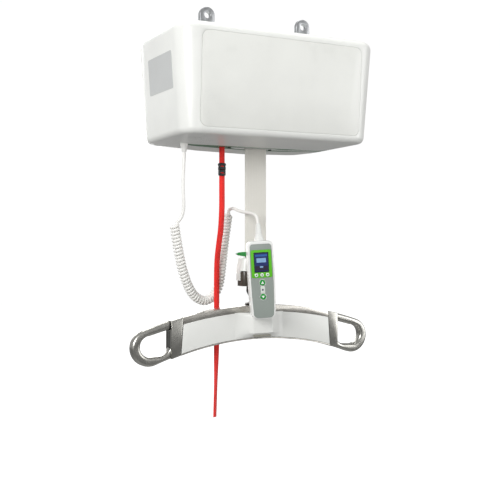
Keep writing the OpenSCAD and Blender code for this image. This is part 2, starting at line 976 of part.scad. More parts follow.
module cord_coil() {
  color("white") sweep(smooth(coil_route), coil_d / 2, coil_d / 2, [0, 1, 0], 12);
}

module cord_lead() {
  color("white") sweep(smooth(lead_route), cord_d / 2, cord_d / 2, [1, 0, 0]);
}

casing_front();
casing_rear();
front_panel();
side_label();
underside_strip();
casing_screws();
chassis();
suspension_lugs();
battery_tray();
battery_packs();
control_board();
drum_bearings();
gearbox();
motor();
brake();
strap_guide();
pull_switch();
cord_gland();
drum();
drum_shaft();
strap_wound();
pull_rod();
pull_strap_upper();
buckle_socket();
buckle_plug();
pull_strap_lower();
lift_strap();
cord_straight();
strap_pin();
bracket_front();
bracket_rear();
coupling_block();
lever_pin();
handset_holder();
cord_coil();
cord_lead();
handset_front();
handset_rear();
faceplate();
display_bezel();
display_window();
handset_board();
cord_collar();
release_lever();
swivel_stem();
bar_beam();
hook_left();
hook_right();
panel_front();
panel_rear();
hub_cover();
latch_pins();
latch_left();
latch_right();
button_up();
button_down();
button_left();
button_middle();
button_right();
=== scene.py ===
"""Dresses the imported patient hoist: moulded covers, brushed metal, webbing, cords and a handset."""

import logging
import math
from contextlib import contextmanager
from dataclasses import dataclass, field
from enum import Enum
from typing import Callable, Iterator, Sequence

import bmesh
import bpy
from mathutils import Matrix, Vector


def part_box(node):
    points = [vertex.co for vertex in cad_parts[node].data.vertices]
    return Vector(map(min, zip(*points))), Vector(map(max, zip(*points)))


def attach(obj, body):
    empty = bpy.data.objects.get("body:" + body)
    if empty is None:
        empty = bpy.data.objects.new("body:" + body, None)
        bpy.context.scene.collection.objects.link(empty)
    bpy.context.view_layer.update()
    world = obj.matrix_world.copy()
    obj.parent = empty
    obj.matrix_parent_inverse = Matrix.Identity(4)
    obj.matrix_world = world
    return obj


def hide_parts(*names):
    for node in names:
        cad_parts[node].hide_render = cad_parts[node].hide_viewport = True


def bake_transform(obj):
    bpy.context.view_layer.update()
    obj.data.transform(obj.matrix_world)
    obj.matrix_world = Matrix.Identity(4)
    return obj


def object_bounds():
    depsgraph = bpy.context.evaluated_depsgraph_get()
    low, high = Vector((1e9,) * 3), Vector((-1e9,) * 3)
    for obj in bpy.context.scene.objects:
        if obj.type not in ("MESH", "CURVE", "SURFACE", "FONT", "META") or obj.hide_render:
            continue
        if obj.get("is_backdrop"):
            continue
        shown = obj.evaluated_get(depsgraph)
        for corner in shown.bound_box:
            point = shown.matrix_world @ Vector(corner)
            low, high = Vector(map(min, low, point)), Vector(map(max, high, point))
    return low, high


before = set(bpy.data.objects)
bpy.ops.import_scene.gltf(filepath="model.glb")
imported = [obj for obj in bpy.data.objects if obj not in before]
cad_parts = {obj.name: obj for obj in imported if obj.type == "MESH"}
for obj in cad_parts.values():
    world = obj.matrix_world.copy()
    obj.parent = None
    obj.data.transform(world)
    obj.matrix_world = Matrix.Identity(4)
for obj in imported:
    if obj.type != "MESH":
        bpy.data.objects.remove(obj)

MM = 0.001
LOG = logging.getLogger("hoist")
Outline = list[tuple[float, float]]
Color = tuple[float, float, float]


class Join(Enum):
    """How a tool solid meets a piece."""

    CUT = "DIFFERENCE"
    KEEP = "INTERSECT"
    ADD = "UNION"


class Facing(Enum):
    """Which cap of a plate gets a rounded rim."""

    BOTH = "both"
    FRONT = "front"
    BACK = "back"


# ---------- points and curves ----------


def mm(x: float, y: float, z: float) -> Vector:
    """A point given in millimetres, in metres."""
    return Vector((x, y, z)) * MM


def linear(red: int, green: int, blue: int) -> Color:
    """Turns screen colour values from 0 to 255 into linear light.

    Args:
        red: Screen red.
        green: Screen green.
        blue: Screen blue.

    Returns:
        The colour for a shader socket.
    """
    parts = (value / 255 for value in (red, green, blue))
    return tuple(v / 12.92 if v <= 0.04045 else ((v + 0.055) / 1.055) ** 2.4 for v in parts)


def ease(share: float) -> float:
    """Goes smoothly from 0 to 1."""
    t = min(1.0, max(0.0, share))
    return t * t * (3 - 2 * t)


def arc(cx: float, cz: float, radius: float, start: float, end: float, steps: int) -> Outline:
    """Points of an arc in the front view.

    Args:
        cx: Centre across.
        cz: Centre height.
        radius: Radius.
        start: First angle in degrees.
        end: Last angle in degrees.
        steps: Number of chords.

    Returns:
        The points, both ends included.
    """
    angles = (math.radians(start + (end - start) * i / steps) for i in range(steps + 1))
    return [(cx + radius * math.cos(a), cz + radius * math.sin(a)) for a in angles]


def round_box(width: float, height: float, radius: float, cx: float = 0, cz: float = 0) -> Outline:
    """Outline of a rectangle with round corners.

    Args:
        width: Width.
        height: Height.
        radius: Corner radius.
        cx: Centre across.
        cz: Centre height.

    Returns:
        The outline, counter-clockwise.
    """
    x, z = width / 2 - radius, height / 2 - radius
    points: Outline = []
    for sx, sz, start in ((1, 1, 0), (-1, 1, 90), (-1, -1, 180), (1, -1, 270)):
        points += arc(cx + sx * x, cz + sz * z, radius, start, start + 90, 6)
    return points


def through(route: Sequence[Vector], steps: int) -> list[Vector]:
    """Draws a smooth curve through the points of a route.

    Args:
        route: The points that the curve passes.
        steps: Points drawn for each stretch.

    Returns:
        The curve's points.
    """
    curve: list[Vector] = []
    last = len(route) - 1
    for i in range(last):
        a, b = route[max(i - 1, 0)], route[i]
        c, d = route[i + 1], route[min(i + 2, last)]
        for k in range(steps):
            t = k / steps
            curve.append(
                0.5 * (2 * b + (c - a) * t + (2 * a - 5 * b + 4 * c - d) * t * t
                       + (3 * b - a - 3 * c + d) * t ** 3)
            )
    return curve + [route[last].copy()]


def route_length(points: Sequence[Vector]) -> float:
    """Length of a line of points."""
    return sum((b - a).length for a, b in zip(points, points[1:]))


# ---------- modelling ----------


def clear_selection() -> None:
    """Leaves nothing selected, in object mode."""
    if bpy.context.object and bpy.context.object.mode != "OBJECT":
        bpy.ops.object.mode_set(mode="OBJECT")
    bpy.ops.object.select_all(action="DESELECT")


def activate(piece: bpy.types.Object) -> None:
    """Makes one piece the selected and active one."""
    clear_selection()
    piece.select_set(True)
    bpy.context.view_layer.objects.active = piece


@contextmanager
def editing(piece: bpy.types.Object) -> Iterator[None]:
    """Opens a piece in edit mode with nothing selected, and closes it again."""
    activate(piece)
    bpy.ops.object.mode_set(mode="EDIT")
    bpy.ops.mesh.select_all(action="DESELECT")
    yield
    bpy.ops.object.mode_set(mode="OBJECT")


def pick_edges(piece: bpy.types.Object, test: Callable[[Vector, Vector], bool]) -> None:
    """Selects the edges of an open piece whose two ends pass a test.

    Args:
        piece: The piece that is in edit mode.
        test: Gets an edge's two ends in metres.
    """
    bpy.ops.mesh.select_mode(type="EDGE")
    mesh = bmesh.from_edit_mesh(piece.data)
    for edge in mesh.edges:
        edge.select = test(edge.verts[0].co, edge.verts[1].co)
    mesh.select_flush_mode()
    bmesh.update_edit_mesh(piece.data)


def face_out(piece: bpy.types.Object) -> None:
    """Merges a piece's doubles and turns its faces outwards."""
    with editing(piece):
        bpy.ops.mesh.select_all(action="SELECT")
        bpy.ops.mesh.remove_doubles(threshold=1e-6)
        bpy.ops.mesh.normals_make_consistent(inside=False)


def loft(name: str, rings: Sequence[Sequence[Vector]]) -> bpy.types.Object:
    """Extrudes a ring of points from station to station into a closed form.

    Args:
        name: Name of the piece.
        rings: The stations, all with as many points, in metres.

    Returns:
        The closed piece.
    """
    clear_selection()
    bpy.ops.mesh.primitive_circle_add(vertices=len(rings[0]), fill_type="NGON")
    piece = bpy.context.object
    piece.name = name
    bpy.ops.object.mode_set(mode="EDIT")
    bpy.ops.mesh.select_all(action="SELECT")
    mesh = bmesh.from_edit_mesh(piece.data)
    order = mesh.verts.layers.int.new("order")
    for index, vert in enumerate(mesh.verts):
        vert[order] = index
        vert.co = rings[0][index]
    bmesh.update_edit_mesh(piece.data)
    for ring in rings[1:]:
        bpy.ops.mesh.extrude_region_move()
        mesh = bmesh.from_edit_mesh(piece.data)
        order = mesh.verts.layers.int["order"]
        for vert in mesh.verts:
            if vert.select:
                vert.co = ring[vert[order]]
        bmesh.update_edit_mesh(piece.data)
    bpy.ops.object.mode_set(mode="OBJECT")
    piece.data.attributes.remove(piece.data.attributes["order"])
    face_out(piece)
    return piece


def plate(
    name: str, outline: Outline, y0: float, y1: float,
    rim: float = 0, segments: int = 3, facing: Facing = Facing.BOTH,
) -> bpy.types.Object:
    """A plate of front-view outline, with a bevelled rim.

    Args:
        name: Name of the piece.
        outline: Points across and up, in millimetres.
        y0: Front face.
        y1: Back face.
        rim: Bevel of the rim, or 0 for none.
        segments: Steps of the bevel.
        facing: Which rims are bevelled.

    Returns:
        The closed piece.
    """
    piece = loft(name, [[mm(x, y, z) for x, z in outline] for y in (y0, y1)])
    if rim:
        wanted = {Facing.BOTH: (y0, y1), Facing.FRONT: (y0,), Facing.BACK: (y1,)}[facing]
        with editing(piece):
            pick_edges(piece, lambda a, b: any(
                abs(a.y - y * MM) < 1e-6 and abs(b.y - y * MM) < 1e-6 for y in wanted))
            bpy.ops.mesh.bevel(offset=rim * MM, segments=segments, affect="EDGES", clamp_overlap=True)
    return piece


def turned(name: str, profile: Outline, sides: int = 48) -> bpy.types.Object:
    """A round form about the upright axis, extruded and resized up its profile.

    Args:
        name: Name of the piece.
        profile: Radius and height pairs from one end to the other, in millimetres.
        sides: Sides of the round.

    Returns:
        The closed piece.
    """
    ways = [2 * math.pi * i / sides for i in range(sides)]
    return loft(name, [[mm(r * math.cos(w), r * math.sin(w), z) for w in ways] for r, z in profile])


def combine(piece: bpy.types.Object, tool: bpy.types.Object, how: Join) -> bpy.types.Object:
    """Cuts, keeps or adds a tool solid, and takes the tool away.

    Args:
        piece: The piece that is worked on.
        tool: The solid that is used up.
        how: What is done with it.

    Returns:
        The piece.
    """
    activate(piece)
    step = piece.modifiers.new("join", "BOOLEAN")
    step.operation = how.value
    step.object = tool
    bpy.ops.object.modifier_apply(modifier=step.name)
    bpy.data.objects.remove(tool)
    return piece


def soften(piece: bpy.types.Object, width: float, segments: int = 2, angle: float = 30) -> None:
    """Rounds a piece's sharp edges.

    Args:
        piece: The piece.
        width: Width of the rounding in millimetres.
        segments: Steps of the rounding.
        angle: Edges sharper than this many degrees are rounded.
    """
    activate(piece)
    step = piece.modifiers.new("soft edges", "BEVEL")
    step.width = width * MM
    step.segments = segments
    step.limit_method = "ANGLE"
    step.angle_limit = math.radians(angle)
    step.use_clamp_overlap = True
    bpy.ops.object.modifier_apply(modifier=step.name)


def box_tool(low: Vector, high: Vector) -> bpy.types.Object:
    """A plain box for cutting, between two corners in metres."""
    clear_selection()
    bpy.ops.mesh.primitive_cube_add(size=1, location=(low + high) / 2)
    tool = bpy.context.object
    tool.scale = high - low
    bpy.ops.object.transform_apply(location=True, rotation=True, scale=True)
    return tool


def duplicate(piece: bpy.types.Object, name: str) -> bpy.types.Object:
    """A copy of a piece with a mesh of its own."""
    copy = bpy.data.objects.new(name, piece.data.copy())
    bpy.context.scene.collection.objects.link(copy)
    return copy


def mirrored(piece: bpy.types.Object, name: str) -> bpy.types.Object:
    """The piece's copy on the other side of the middle."""
    copy = duplicate(piece, name)
    copy.data.transform(Matrix.Scale(-1, 4, (1, 0, 0)))
    copy.data.flip_normals()
    return copy


def copy_of(node: str, name: str) -> bpy.types.Object:
    """A merged copy of a CAD node, ready for finer edges.

    Args:
        node: The CAD node.
        name: Name of the new piece.

    Returns:
        The copy, with flat areas made whole.
    """
    piece = duplicate(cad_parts[node], name)
    piece.data.materials.clear()
    with editing(piece):
        bpy.ops.mesh.select_all(action="SELECT")
        bpy.ops.mesh.remove_doubles(threshold=1e-6)
        bpy.ops.mesh.dissolve_limited(angle_limit=math.radians(0.4))
    return piece


# ---------- finishes ----------


class Recipe:
    """A material's nodes, which all read Object coordinates unless told otherwise."""

    def __init__(self, name: str) -> None:
        """Starts an empty material with a Principled shader."""
        self.material = bpy.data.materials.new(name)
        self.material.use_nodes = True
        self.tree = self.material.node_tree
        self.tree.nodes.clear()
        self.shader = self.add("ShaderNodeBsdfPrincipled")
        output = self.add("ShaderNodeOutputMaterial")
        self.link(self.shader.outputs["BSDF"], output.inputs["Surface"])
        self.place = self.add("ShaderNodeTexCoord").outputs["Object"]

    def add(self, kind: str) -> bpy.types.Node:
        """Adds a node of a kind."""
        return self.tree.nodes.new(kind)

    def link(self, start: bpy.types.NodeSocket, end: bpy.types.NodeSocket) -> None:
        """Joins two sockets."""
        self.tree.links.new(start, end)

    def set(self, **values: float) -> None:
        """Sets shader sockets; an underscore in a name stands for a space."""
        for name, value in values.items():
            self.shader.inputs[name.replace("_", " ").title().replace("Ior", "IOR")].default_value = value

    def mapped(self, stretch: Sequence[float], turn: float = 0) -> bpy.types.NodeSocket:
        """Object coordinates stretched along each axis and turned about Z.

        Args:
            stretch: Factor for each axis.
            turn: Turn about Z in degrees.

        Returns:
            The vector socket.
        """
        node = self.add("ShaderNodeMapping")
        node.inputs["Scale"].default_value = stretch
        node.inputs["Rotation"].default_value = (0, 0, math.radians(turn))
        self.link(self.place, node.inputs["Vector"])
        return node.outputs["Vector"]

    def noise(self, scale: float, detail: float = 3, stretch: Sequence[float] = (1, 1, 1)) -> bpy.types.NodeSocket:
        """Noise of so many lumps a metre.

        Args:
            scale: Lumps for each metre.
            detail: Octaves.
            stretch: Factor for each axis.

        Returns:
            The noise value.
        """
        node = self.add("ShaderNodeTexNoise")
        node.inputs["Scale"].default_value = scale
        node.inputs["Detail"].default_value = detail
        self.link(self.mapped(stretch), node.inputs["Vector"])
        return node.outputs["Fac"]

    def bands(self, axis: str, pitch: float, vector: bpy.types.NodeSocket | None = None) -> bpy.types.NodeSocket:
        """Sine bands across an axis.

        Args:
            axis: X, Y or Z.
            pitch: Width of a band in metres.
            vector: The coordinates, or Object coordinates.

        Returns:
            The band value.
        """
        node = self.add("ShaderNodeTexWave")
        node.bands_direction = axis
        node.wave_profile = "SIN"
        node.inputs["Scale"].default_value = 2 * math.pi / (20 * pitch)
        self.link(vector or self.place, node.inputs["Vector"])
        return node.outputs["Fac"]

    def span(self, value: bpy.types.NodeSocket, low: float, high: float,
             start: float = 0.3, end: float = 0.7) -> bpy.types.NodeSocket:
        """Maps a value from start..end to low..high.

        Args:
            value: The value that comes in.
            low: What start becomes.
            high: What end becomes.
            start: Where the range starts.
            end: Where the range ends.

        Returns:
            The new value.
        """
        node = self.add("ShaderNodeMapRange")
        node.inputs["From Min"].default_value = start
        node.inputs["From Max"].default_value = end
        node.inputs["To Min"].default_value = low
        node.inputs["To Max"].default_value = high
        self.link(value, node.inputs["Value"])
        return node.outputs["Result"]

    def mix(self, share: bpy.types.NodeSocket, first: Color, second: Color) -> bpy.types.NodeSocket:
        """Mixes two colours by a share.

        Args:
            share: The share of the second colour.
            first: The colour at 0.
            second: The colour at 1.

        Returns:
            The mixed colour.
        """
        node = self.add("ShaderNodeMix")
        node.data_type = "RGBA"
        node.inputs[6].default_value = (*first, 1)
        node.inputs[7].default_value = (*second, 1)
        self.link(share, node.inputs[0])
        return node.outputs[2]

    def sum(self, first: bpy.types.NodeSocket, second: bpy.types.NodeSocket, weight: float) -> bpy.types.NodeSocket:
        """Adds weight times the second value to the first.

        Args:
            first: The first value.
            second: The second value.
            weight: How much of the second is added.

        Returns:
            The sum.
        """
        node = self.add("ShaderNodeMath")
        node.operation = "MULTIPLY_ADD"
        self.link(second, node.inputs[0])
        node.inputs[1].default_value = weight
        self.link(first, node.inputs[2])
        return node.outputs["Value"]

    def bump(self, height: bpy.types.NodeSocket, distance: float, strength: float) -> None:
        """Puts a height on the surface.

        Args:
            height: The height value.
            distance: Metres that a height of 1 stands for.
            strength: Share of it that shows.
        """
        node = self.add("ShaderNodeBump")
        node.inputs["Strength"].default_value = strength
        node.inputs["Distance"].default_value = distance
        self.link(height, node.inputs["Height"])
        self.link(node.outputs["Normal"], self.shader.inputs["Normal"])


def shade(color: Color, factor: float) -> Color:
    """The colour made darker or lighter."""
    return tuple(min(1.0, part * factor) for part in color)


@dataclass(frozen=True)
class Moulded:
    """Injection-moulded plastic with a fine texture and faint flow marks.

    Attributes:
        name: Material name.
        color: Linear base colour.
        rough: Middle roughness.
        grain: Texture lumps a metre.
        depth: Height of the texture in metres.
        coat: Weight of the clear gloss on top.
    """

    name: str
    color: Color
    rough: float = 0.35
    grain: float = 1500
    depth: float = 0.00003
    coat: float = 0.15

    def material(self) -> bpy.types.Material:
        """Builds the node material."""
        recipe = Recipe(self.name)
        flow = recipe.noise(9, 4)
        fine = recipe.noise(self.grain, 2)
        tone = recipe.mix(recipe.span(flow, 0, 1), shade(self.color, 0.955), shade(self.color, 1.03))
        recipe.link(tone, recipe.shader.inputs["Base Color"])
        rough = recipe.span(recipe.sum(flow, fine, 0.4), self.rough - 0.05, self.rough + 0.06, 0.3, 1.0)
        recipe.link(rough, recipe.shader.inputs["Roughness"])
        recipe.set(coat_weight=self.coat, coat_roughness=0.25, IOR=1.5)
        recipe.bump(fine, self.depth, 0.35)
        return recipe.material


@dataclass(frozen=True)
class Metal:
    """Brushed or turned metal.

    Attributes:
        name: Material name.
        color: Linear base colour.
        rough: Middle roughness.
        stretch: Factor for each axis; a small one is the way that the brush went.
        depth: Depth of the brush marks in metres.
        metallic: 1 for bare metal, less under lacquer.
    """

    name: str
    color: Color
    rough: float = 0.32
    stretch: tuple[float, float, float] = (0.03, 1, 1)
    depth: float = 0.000006
    metallic: float = 1.0

    def material(self) -> bpy.types.Material:
        """Builds the node material."""
        recipe = Recipe(self.name)
        brush = recipe.noise(2200, 3, self.stretch)
        cloud = recipe.noise(14, 3)
        tone = recipe.mix(recipe.span(recipe.sum(brush, cloud, 0.6), 0, 1, 0.5, 1.1),
                          shade(self.color, 0.9), shade(self.color, 1.08))
        recipe.link(tone, recipe.shader.inputs["Base Color"])
        recipe.link(recipe.span(brush, self.rough - 0.08, self.rough + 0.1), recipe.shader.inputs["Roughness"])
        recipe.set(metallic=self.metallic, anisotropic=0.35)
        recipe.bump(brush, self.depth, 0.2)
        return recipe.material


@dataclass(frozen=True)
class Webbing:
    """Woven webbing whose ribs run along it.

    Attributes:
        name: Material name.
        color: Linear base colour.
        shadow: Colour between the ribs.
        rib: Pitch of the ribs in metres.
        pick: Pitch of the cross threads in metres.
        mapped: True if the piece has a UV map, u across and v along, in metres.
    """

    name: str
    color: Color
    shadow: Color
    rib: float = 0.002
    pick: float = 0.0012
    mapped: bool = False

    def material(self) -> bpy.types.Material:
        """Builds the node material."""
        recipe = Recipe(self.name)
        vector = recipe.add("ShaderNodeUVMap").outputs["UV"] if self.mapped else recipe.place
        ribs = recipe.bands("X", self.rib, vector)
        picks = recipe.bands("Y" if self.mapped else "Z", self.pick, vector)
        fuzz = recipe.noise(3500, 3)
        wear = recipe.noise(22, 4)
        height = recipe.sum(recipe.sum(ribs, picks, 0.55), fuzz, 0.35)
        tone = recipe.mix(recipe.span(recipe.sum(height, wear, 0.5), 0, 1, 0.5, 1.7), self.shadow, self.color)
        recipe.link(tone, recipe.shader.inputs["Base Color"])
        recipe.set(roughness=0.82, sheen_weight=0.25, sheen_roughness=0.5)
        recipe.bump(height, 0.00025, 0.6)
        return recipe.material


@dataclass(frozen=True)
class Screen:
    """A lit display behind clear plastic.

    Attributes:
        name: Material name.
        color: Linear base colour.
        glow: Strength of its own light.
    """

    name: str
    color: Color
    glow: float = 0.4

    def material(self) -> bpy.types.Material:
        """Builds the node material."""
        recipe = Recipe(self.name)
        rows = recipe.bands("Z", 0.0004)
        cloud = recipe.noise(60, 2)
        tone = recipe.mix(recipe.span(recipe.sum(cloud, rows, 0.2), 0, 1, 0.4, 0.8),
                          shade(self.color, 0.85), shade(self.color, 1.15))
        recipe.link(tone, recipe.shader.inputs["Base Color"])
        recipe.link(tone, recipe.shader.inputs["Emission Color"])
        recipe.set(emission_strength=self.glow, roughness=0.12, coat_weight=0.6, coat_roughness=0.05)
        return recipe.material


FINISHES: dict[str, Moulded | Metal | Webbing | Screen] = {
    "shell": Moulded("shell white", linear(236, 237, 233), 0.30),
    "panel": Moulded("panel white", linear(233, 234, 229), 0.28),
    "plate": Moulded("label grey", linear(196, 198, 197), 0.42, 900),
    "strip": Moulded("strip green", linear(86, 122, 92), 0.5),
    "dark screw": Metal("dark screw", linear(70, 70, 70), 0.4, (1, 1, 1)),
    "sheet steel": Metal("sheet steel", linear(150, 153, 158), 0.45, (1, 0.05, 1)),
    "zinc": Metal("zinc", linear(176, 178, 180), 0.36, (1, 1, 0.05)),
    "tray": Moulded("tray black", linear(48, 50, 54), 0.55),
    "pack": Moulded("battery blue", linear(52, 74, 120), 0.5, 700),
    "board": Moulded("board green", linear(34, 96, 56), 0.4, 900),
    "ground steel": Metal("ground steel", linear(190, 190, 192), 0.2, (0.04, 1, 1)),
    "cast": Metal("cast alloy", linear(150, 151, 152), 0.5, (1, 1, 1), 0.00006),
    "can": Metal("motor can", linear(86, 87, 90), 0.38, (0.05, 1, 1)),
    "black": Moulded("black acetal", linear(30, 30, 31), 0.42),
    "bracket": Moulded("bracket white", linear(228, 229, 225), 0.3),
    "bronze": Moulded("bronze brown", linear(64, 57, 49), 0.3),
    "blackened": Metal("blackened steel", linear(74, 70, 66), 0.34, (1, 1, 0.08)),
    "cord": Moulded("cord white", linear(240, 239, 235), 0.38, 2500),
    "handset": Moulded("handset white", linear(236, 237, 234), 0.32),
    "membrane": Moulded("membrane grey", linear(146, 154, 148), 0.46, 2200),
    "bezel": Moulded("bezel green", linear(92, 188, 34), 0.3),
    "glass": Moulded("display glass", linear(12, 18, 44), 0.1, 300, 0, 0.5),
    "screen": Screen("screen blue", linear(12, 32, 90), 0.12),
    "screen light": Screen("screen light blue", linear(36, 84, 152), 0.15),
    "screen pale": Screen("screen pale", linear(120, 156, 192), 0.2),
    "screen dim": Screen("screen violet", linear(24, 14, 46), 0.1),
    "key green": Moulded("key green", linear(38, 150, 60), 0.3),
    "lamp": Moulded("lamp violet", linear(84, 74, 104), 0.2),
    "key ring": Moulded("key ring pale", linear(214, 220, 212), 0.35),
    "key white": Moulded("key white", linear(244, 245, 243), 0.3),
    "tab": Moulded("tab green", linear(44, 142, 66), 0.34),
    "bar metal": Metal("bar metal", linear(200, 197, 190), 0.28, (0.03, 1, 1)),
    "hook metal": Metal("hook metal", linear(184, 183, 177), 0.25, (0.015, 0.2, 0.015), 0.000004),
    "dark seam": Moulded("dark seam", linear(40, 40, 40), 0.5),
    "bar cover": Moulded("bar cover white", linear(230, 231, 227), 0.3),
    # The hub band's dark grey is partly a real inlay and partly painted shade on the hub's downward-facing chamfer.
    "hub inlay and painted shade": Moulded("hub inlay and painted shade grey", linear(140, 138, 128), 0.35),
    "latch": Metal("latch steel", linear(132, 132, 128), 0.34, (1, 1, 0.05)),
    "lift webbing": Webbing("lift webbing", linear(234, 232, 225), linear(206, 203, 194), 0.0024, 0.0013),
    "red webbing": Webbing("red webbing", linear(252, 40, 32), linear(214, 20, 16), 0.0015, 0.0011, True),
}


@dataclass
class Workshop:
    """Keeps the materials and hands finished pieces to their bodies."""

    made: dict[str, bpy.types.Material]

    def paint(self, piece: bpy.types.Object, finish: str) -> None:
        """Gives a piece one finish all over."""
        if finish not in self.made:
            self.made[finish] = FINISHES[finish].material()
        piece.data.materials.clear()
        piece.data.materials.append(self.made[finish])

    def smooth(self, piece: bpy.types.Object, angle: float = 35) -> None:
        """Shades a piece smooth, apart from edges sharper than the angle."""
        activate(piece)
        bpy.ops.object.shade_smooth_by_angle(angle=math.radians(angle), keep_sharp_edges=False)

    def deliver(
        self, piece: bpy.types.Object, body: str, finish: str,
        nodes: Sequence[str] = (), angle: float = 35,
    ) -> bpy.types.Object:
        """Paints and smooths a piece and lets it ride on its body.

        Args:
            piece: The finished piece, in its place.
            body: The body that carries it.
            finish: Name of its finish.
            nodes: CAD nodes that it stands for.
            angle: Edges sharper than this stay sharp.

        Returns:
            The piece.
        """
        self.paint(piece, finish)
        self.smooth(piece, angle)
        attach(piece, body)
        if nodes:
            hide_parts(*nodes)
        LOG.info("%s rides on %s, finish %s", piece.name, body, finish)
        return piece

    def dress(self, finish: str, *nodes: str) -> None:
        """Gives CAD nodes that stay as they are their finish."""
        for node in nodes:
            self.paint(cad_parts[node], finish)
            LOG.info("node %s, finish %s", node, finish)


# ---------- stage ----------


@dataclass
class Stage:
    """Camera, floor, sky and lamps.

    Attributes:
        yaw: The camera's turn to the right in degrees.
        stand: The camera's place in millimetres.
        lens: Focal length in millimetres.
        shift: Picture shift across and up.
        floor_z: Height of the floor in millimetres.
    """

    yaw: float = 28
    stand: tuple[float, float, float] = (-828.6, -1558.4, -437)
    lens: float = 62.28
    shift: tuple[float, float] = (-0.011, -0.028)
    floor_z: float = -2900

    def camera(self) -> None:
        """Makes the level camera, looking between +X and +Y."""
        data = bpy.data.cameras.new("camera")
        camera = bpy.data.objects.new("camera", data)
        bpy.context.scene.collection.objects.link(camera)
        turn = math.radians(self.yaw)
        camera.location = mm(*self.stand)
        camera.rotation_mode = "QUATERNION"
        camera.rotation_quaternion = Vector((math.sin(turn), math.cos(turn), 0)).to_track_quat("-Z", "Y")
        data.lens = self.lens
        data.sensor_width = 36
        data.shift_x, data.shift_y = self.shift
        data.clip_start, data.clip_end = 0.05, 60
        bpy.context.scene.camera = camera

    def floor(self) -> None:
        """Makes the plain pale floor."""
        clear_selection()
        bpy.ops.mesh.primitive_circle_add(vertices=96, radius=30, fill_type="NGON",
                                          location=(0, 0, self.floor_z * MM))
        floor = bpy.context.object
        floor.name = "floor"
        bpy.ops.object.transform_apply(location=True)
        recipe = Recipe("floor white")
        tone = recipe.mix(recipe.span(recipe.noise(0.4, 2), 0, 1), linear(172, 172, 172), linear(180, 180, 180))
        recipe.link(tone, recipe.shader.inputs["Base Color"])
        recipe.shader.inputs["Emission Color"].default_value = (1, 1, 1, 1)
        recipe.set(roughness=0.9)
        seen = recipe.add("ShaderNodeLightPath").outputs["Is Camera Ray"]
        recipe.link(recipe.span(seen, 0.0, 1.0, 0, 1), recipe.shader.inputs["Emission Strength"])
        floor.data.materials.append(recipe.material)
        floor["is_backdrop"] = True

    def sky(self) -> None:
        """Makes the white surroundings, dimmer as light than as backdrop."""
        world = bpy.data.worlds.new("studio")
        world.use_nodes = True
        bpy.context.scene.world = world
        nodes, links = world.node_tree.nodes, world.node_tree.links
        path = nodes.new("ShaderNodeLightPath")
        level = nodes.new("ShaderNodeMath")
        level.operation = "MULTIPLY_ADD"
        level.inputs[1].default_value = 0.54
        level.inputs[2].default_value = 0.48
        links.new(path.outputs["Is Camera Ray"], level.inputs[0])
        links.new(level.outputs["Value"], nodes["Background"].inputs["Strength"])
        nodes["Background"].inputs["Color"].default_value = (1, 1, 1, 1)
        bpy.context.scene.view_settings.view_transform = "Standard"

    def lamp(self, name: str, place: Vector, aim: Vector, size: float, power: float) -> None:
        """Hangs a soft lamp.

        Args:
            name: Name of the lamp.
            place: Where it hangs, in metres.
            aim: What it points at, in metres.
            size: Width in metres.
            power: Watts.
        """
        data = bpy.data.lights.new(name, "AREA")
        data.shape = "DISK"
        data.size = size
        data.energy = power
        lamp = bpy.data.objects.new(name, data)
        bpy.context.scene.collection.objects.link(lamp)
        lamp.location = place
        lamp.rotation_mode = "QUATERNION"
        lamp.rotation_quaternion = (aim - place).to_track_quat("-Z", "Y")

    def build(self) -> None:
        """Makes all of the stage."""
        self.camera()
        self.floor()
        self.sky()
        low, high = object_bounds()
        middle = (low + high) / 2
        self.lamp("key", middle + mm(-2450, -1750, 900), middle, 1.5, 70)
        self.lamp("fill", middle + mm(2300, -1700, 300), middle, 2.0, 30)
        self.lamp("top", middle + mm(200, 300, 2300), middle, 1.8, 34)
        self.lamp("back", middle + mm(300, 2600, 600), middle, 2.0, 30)


# ---------- cords and straps ----------


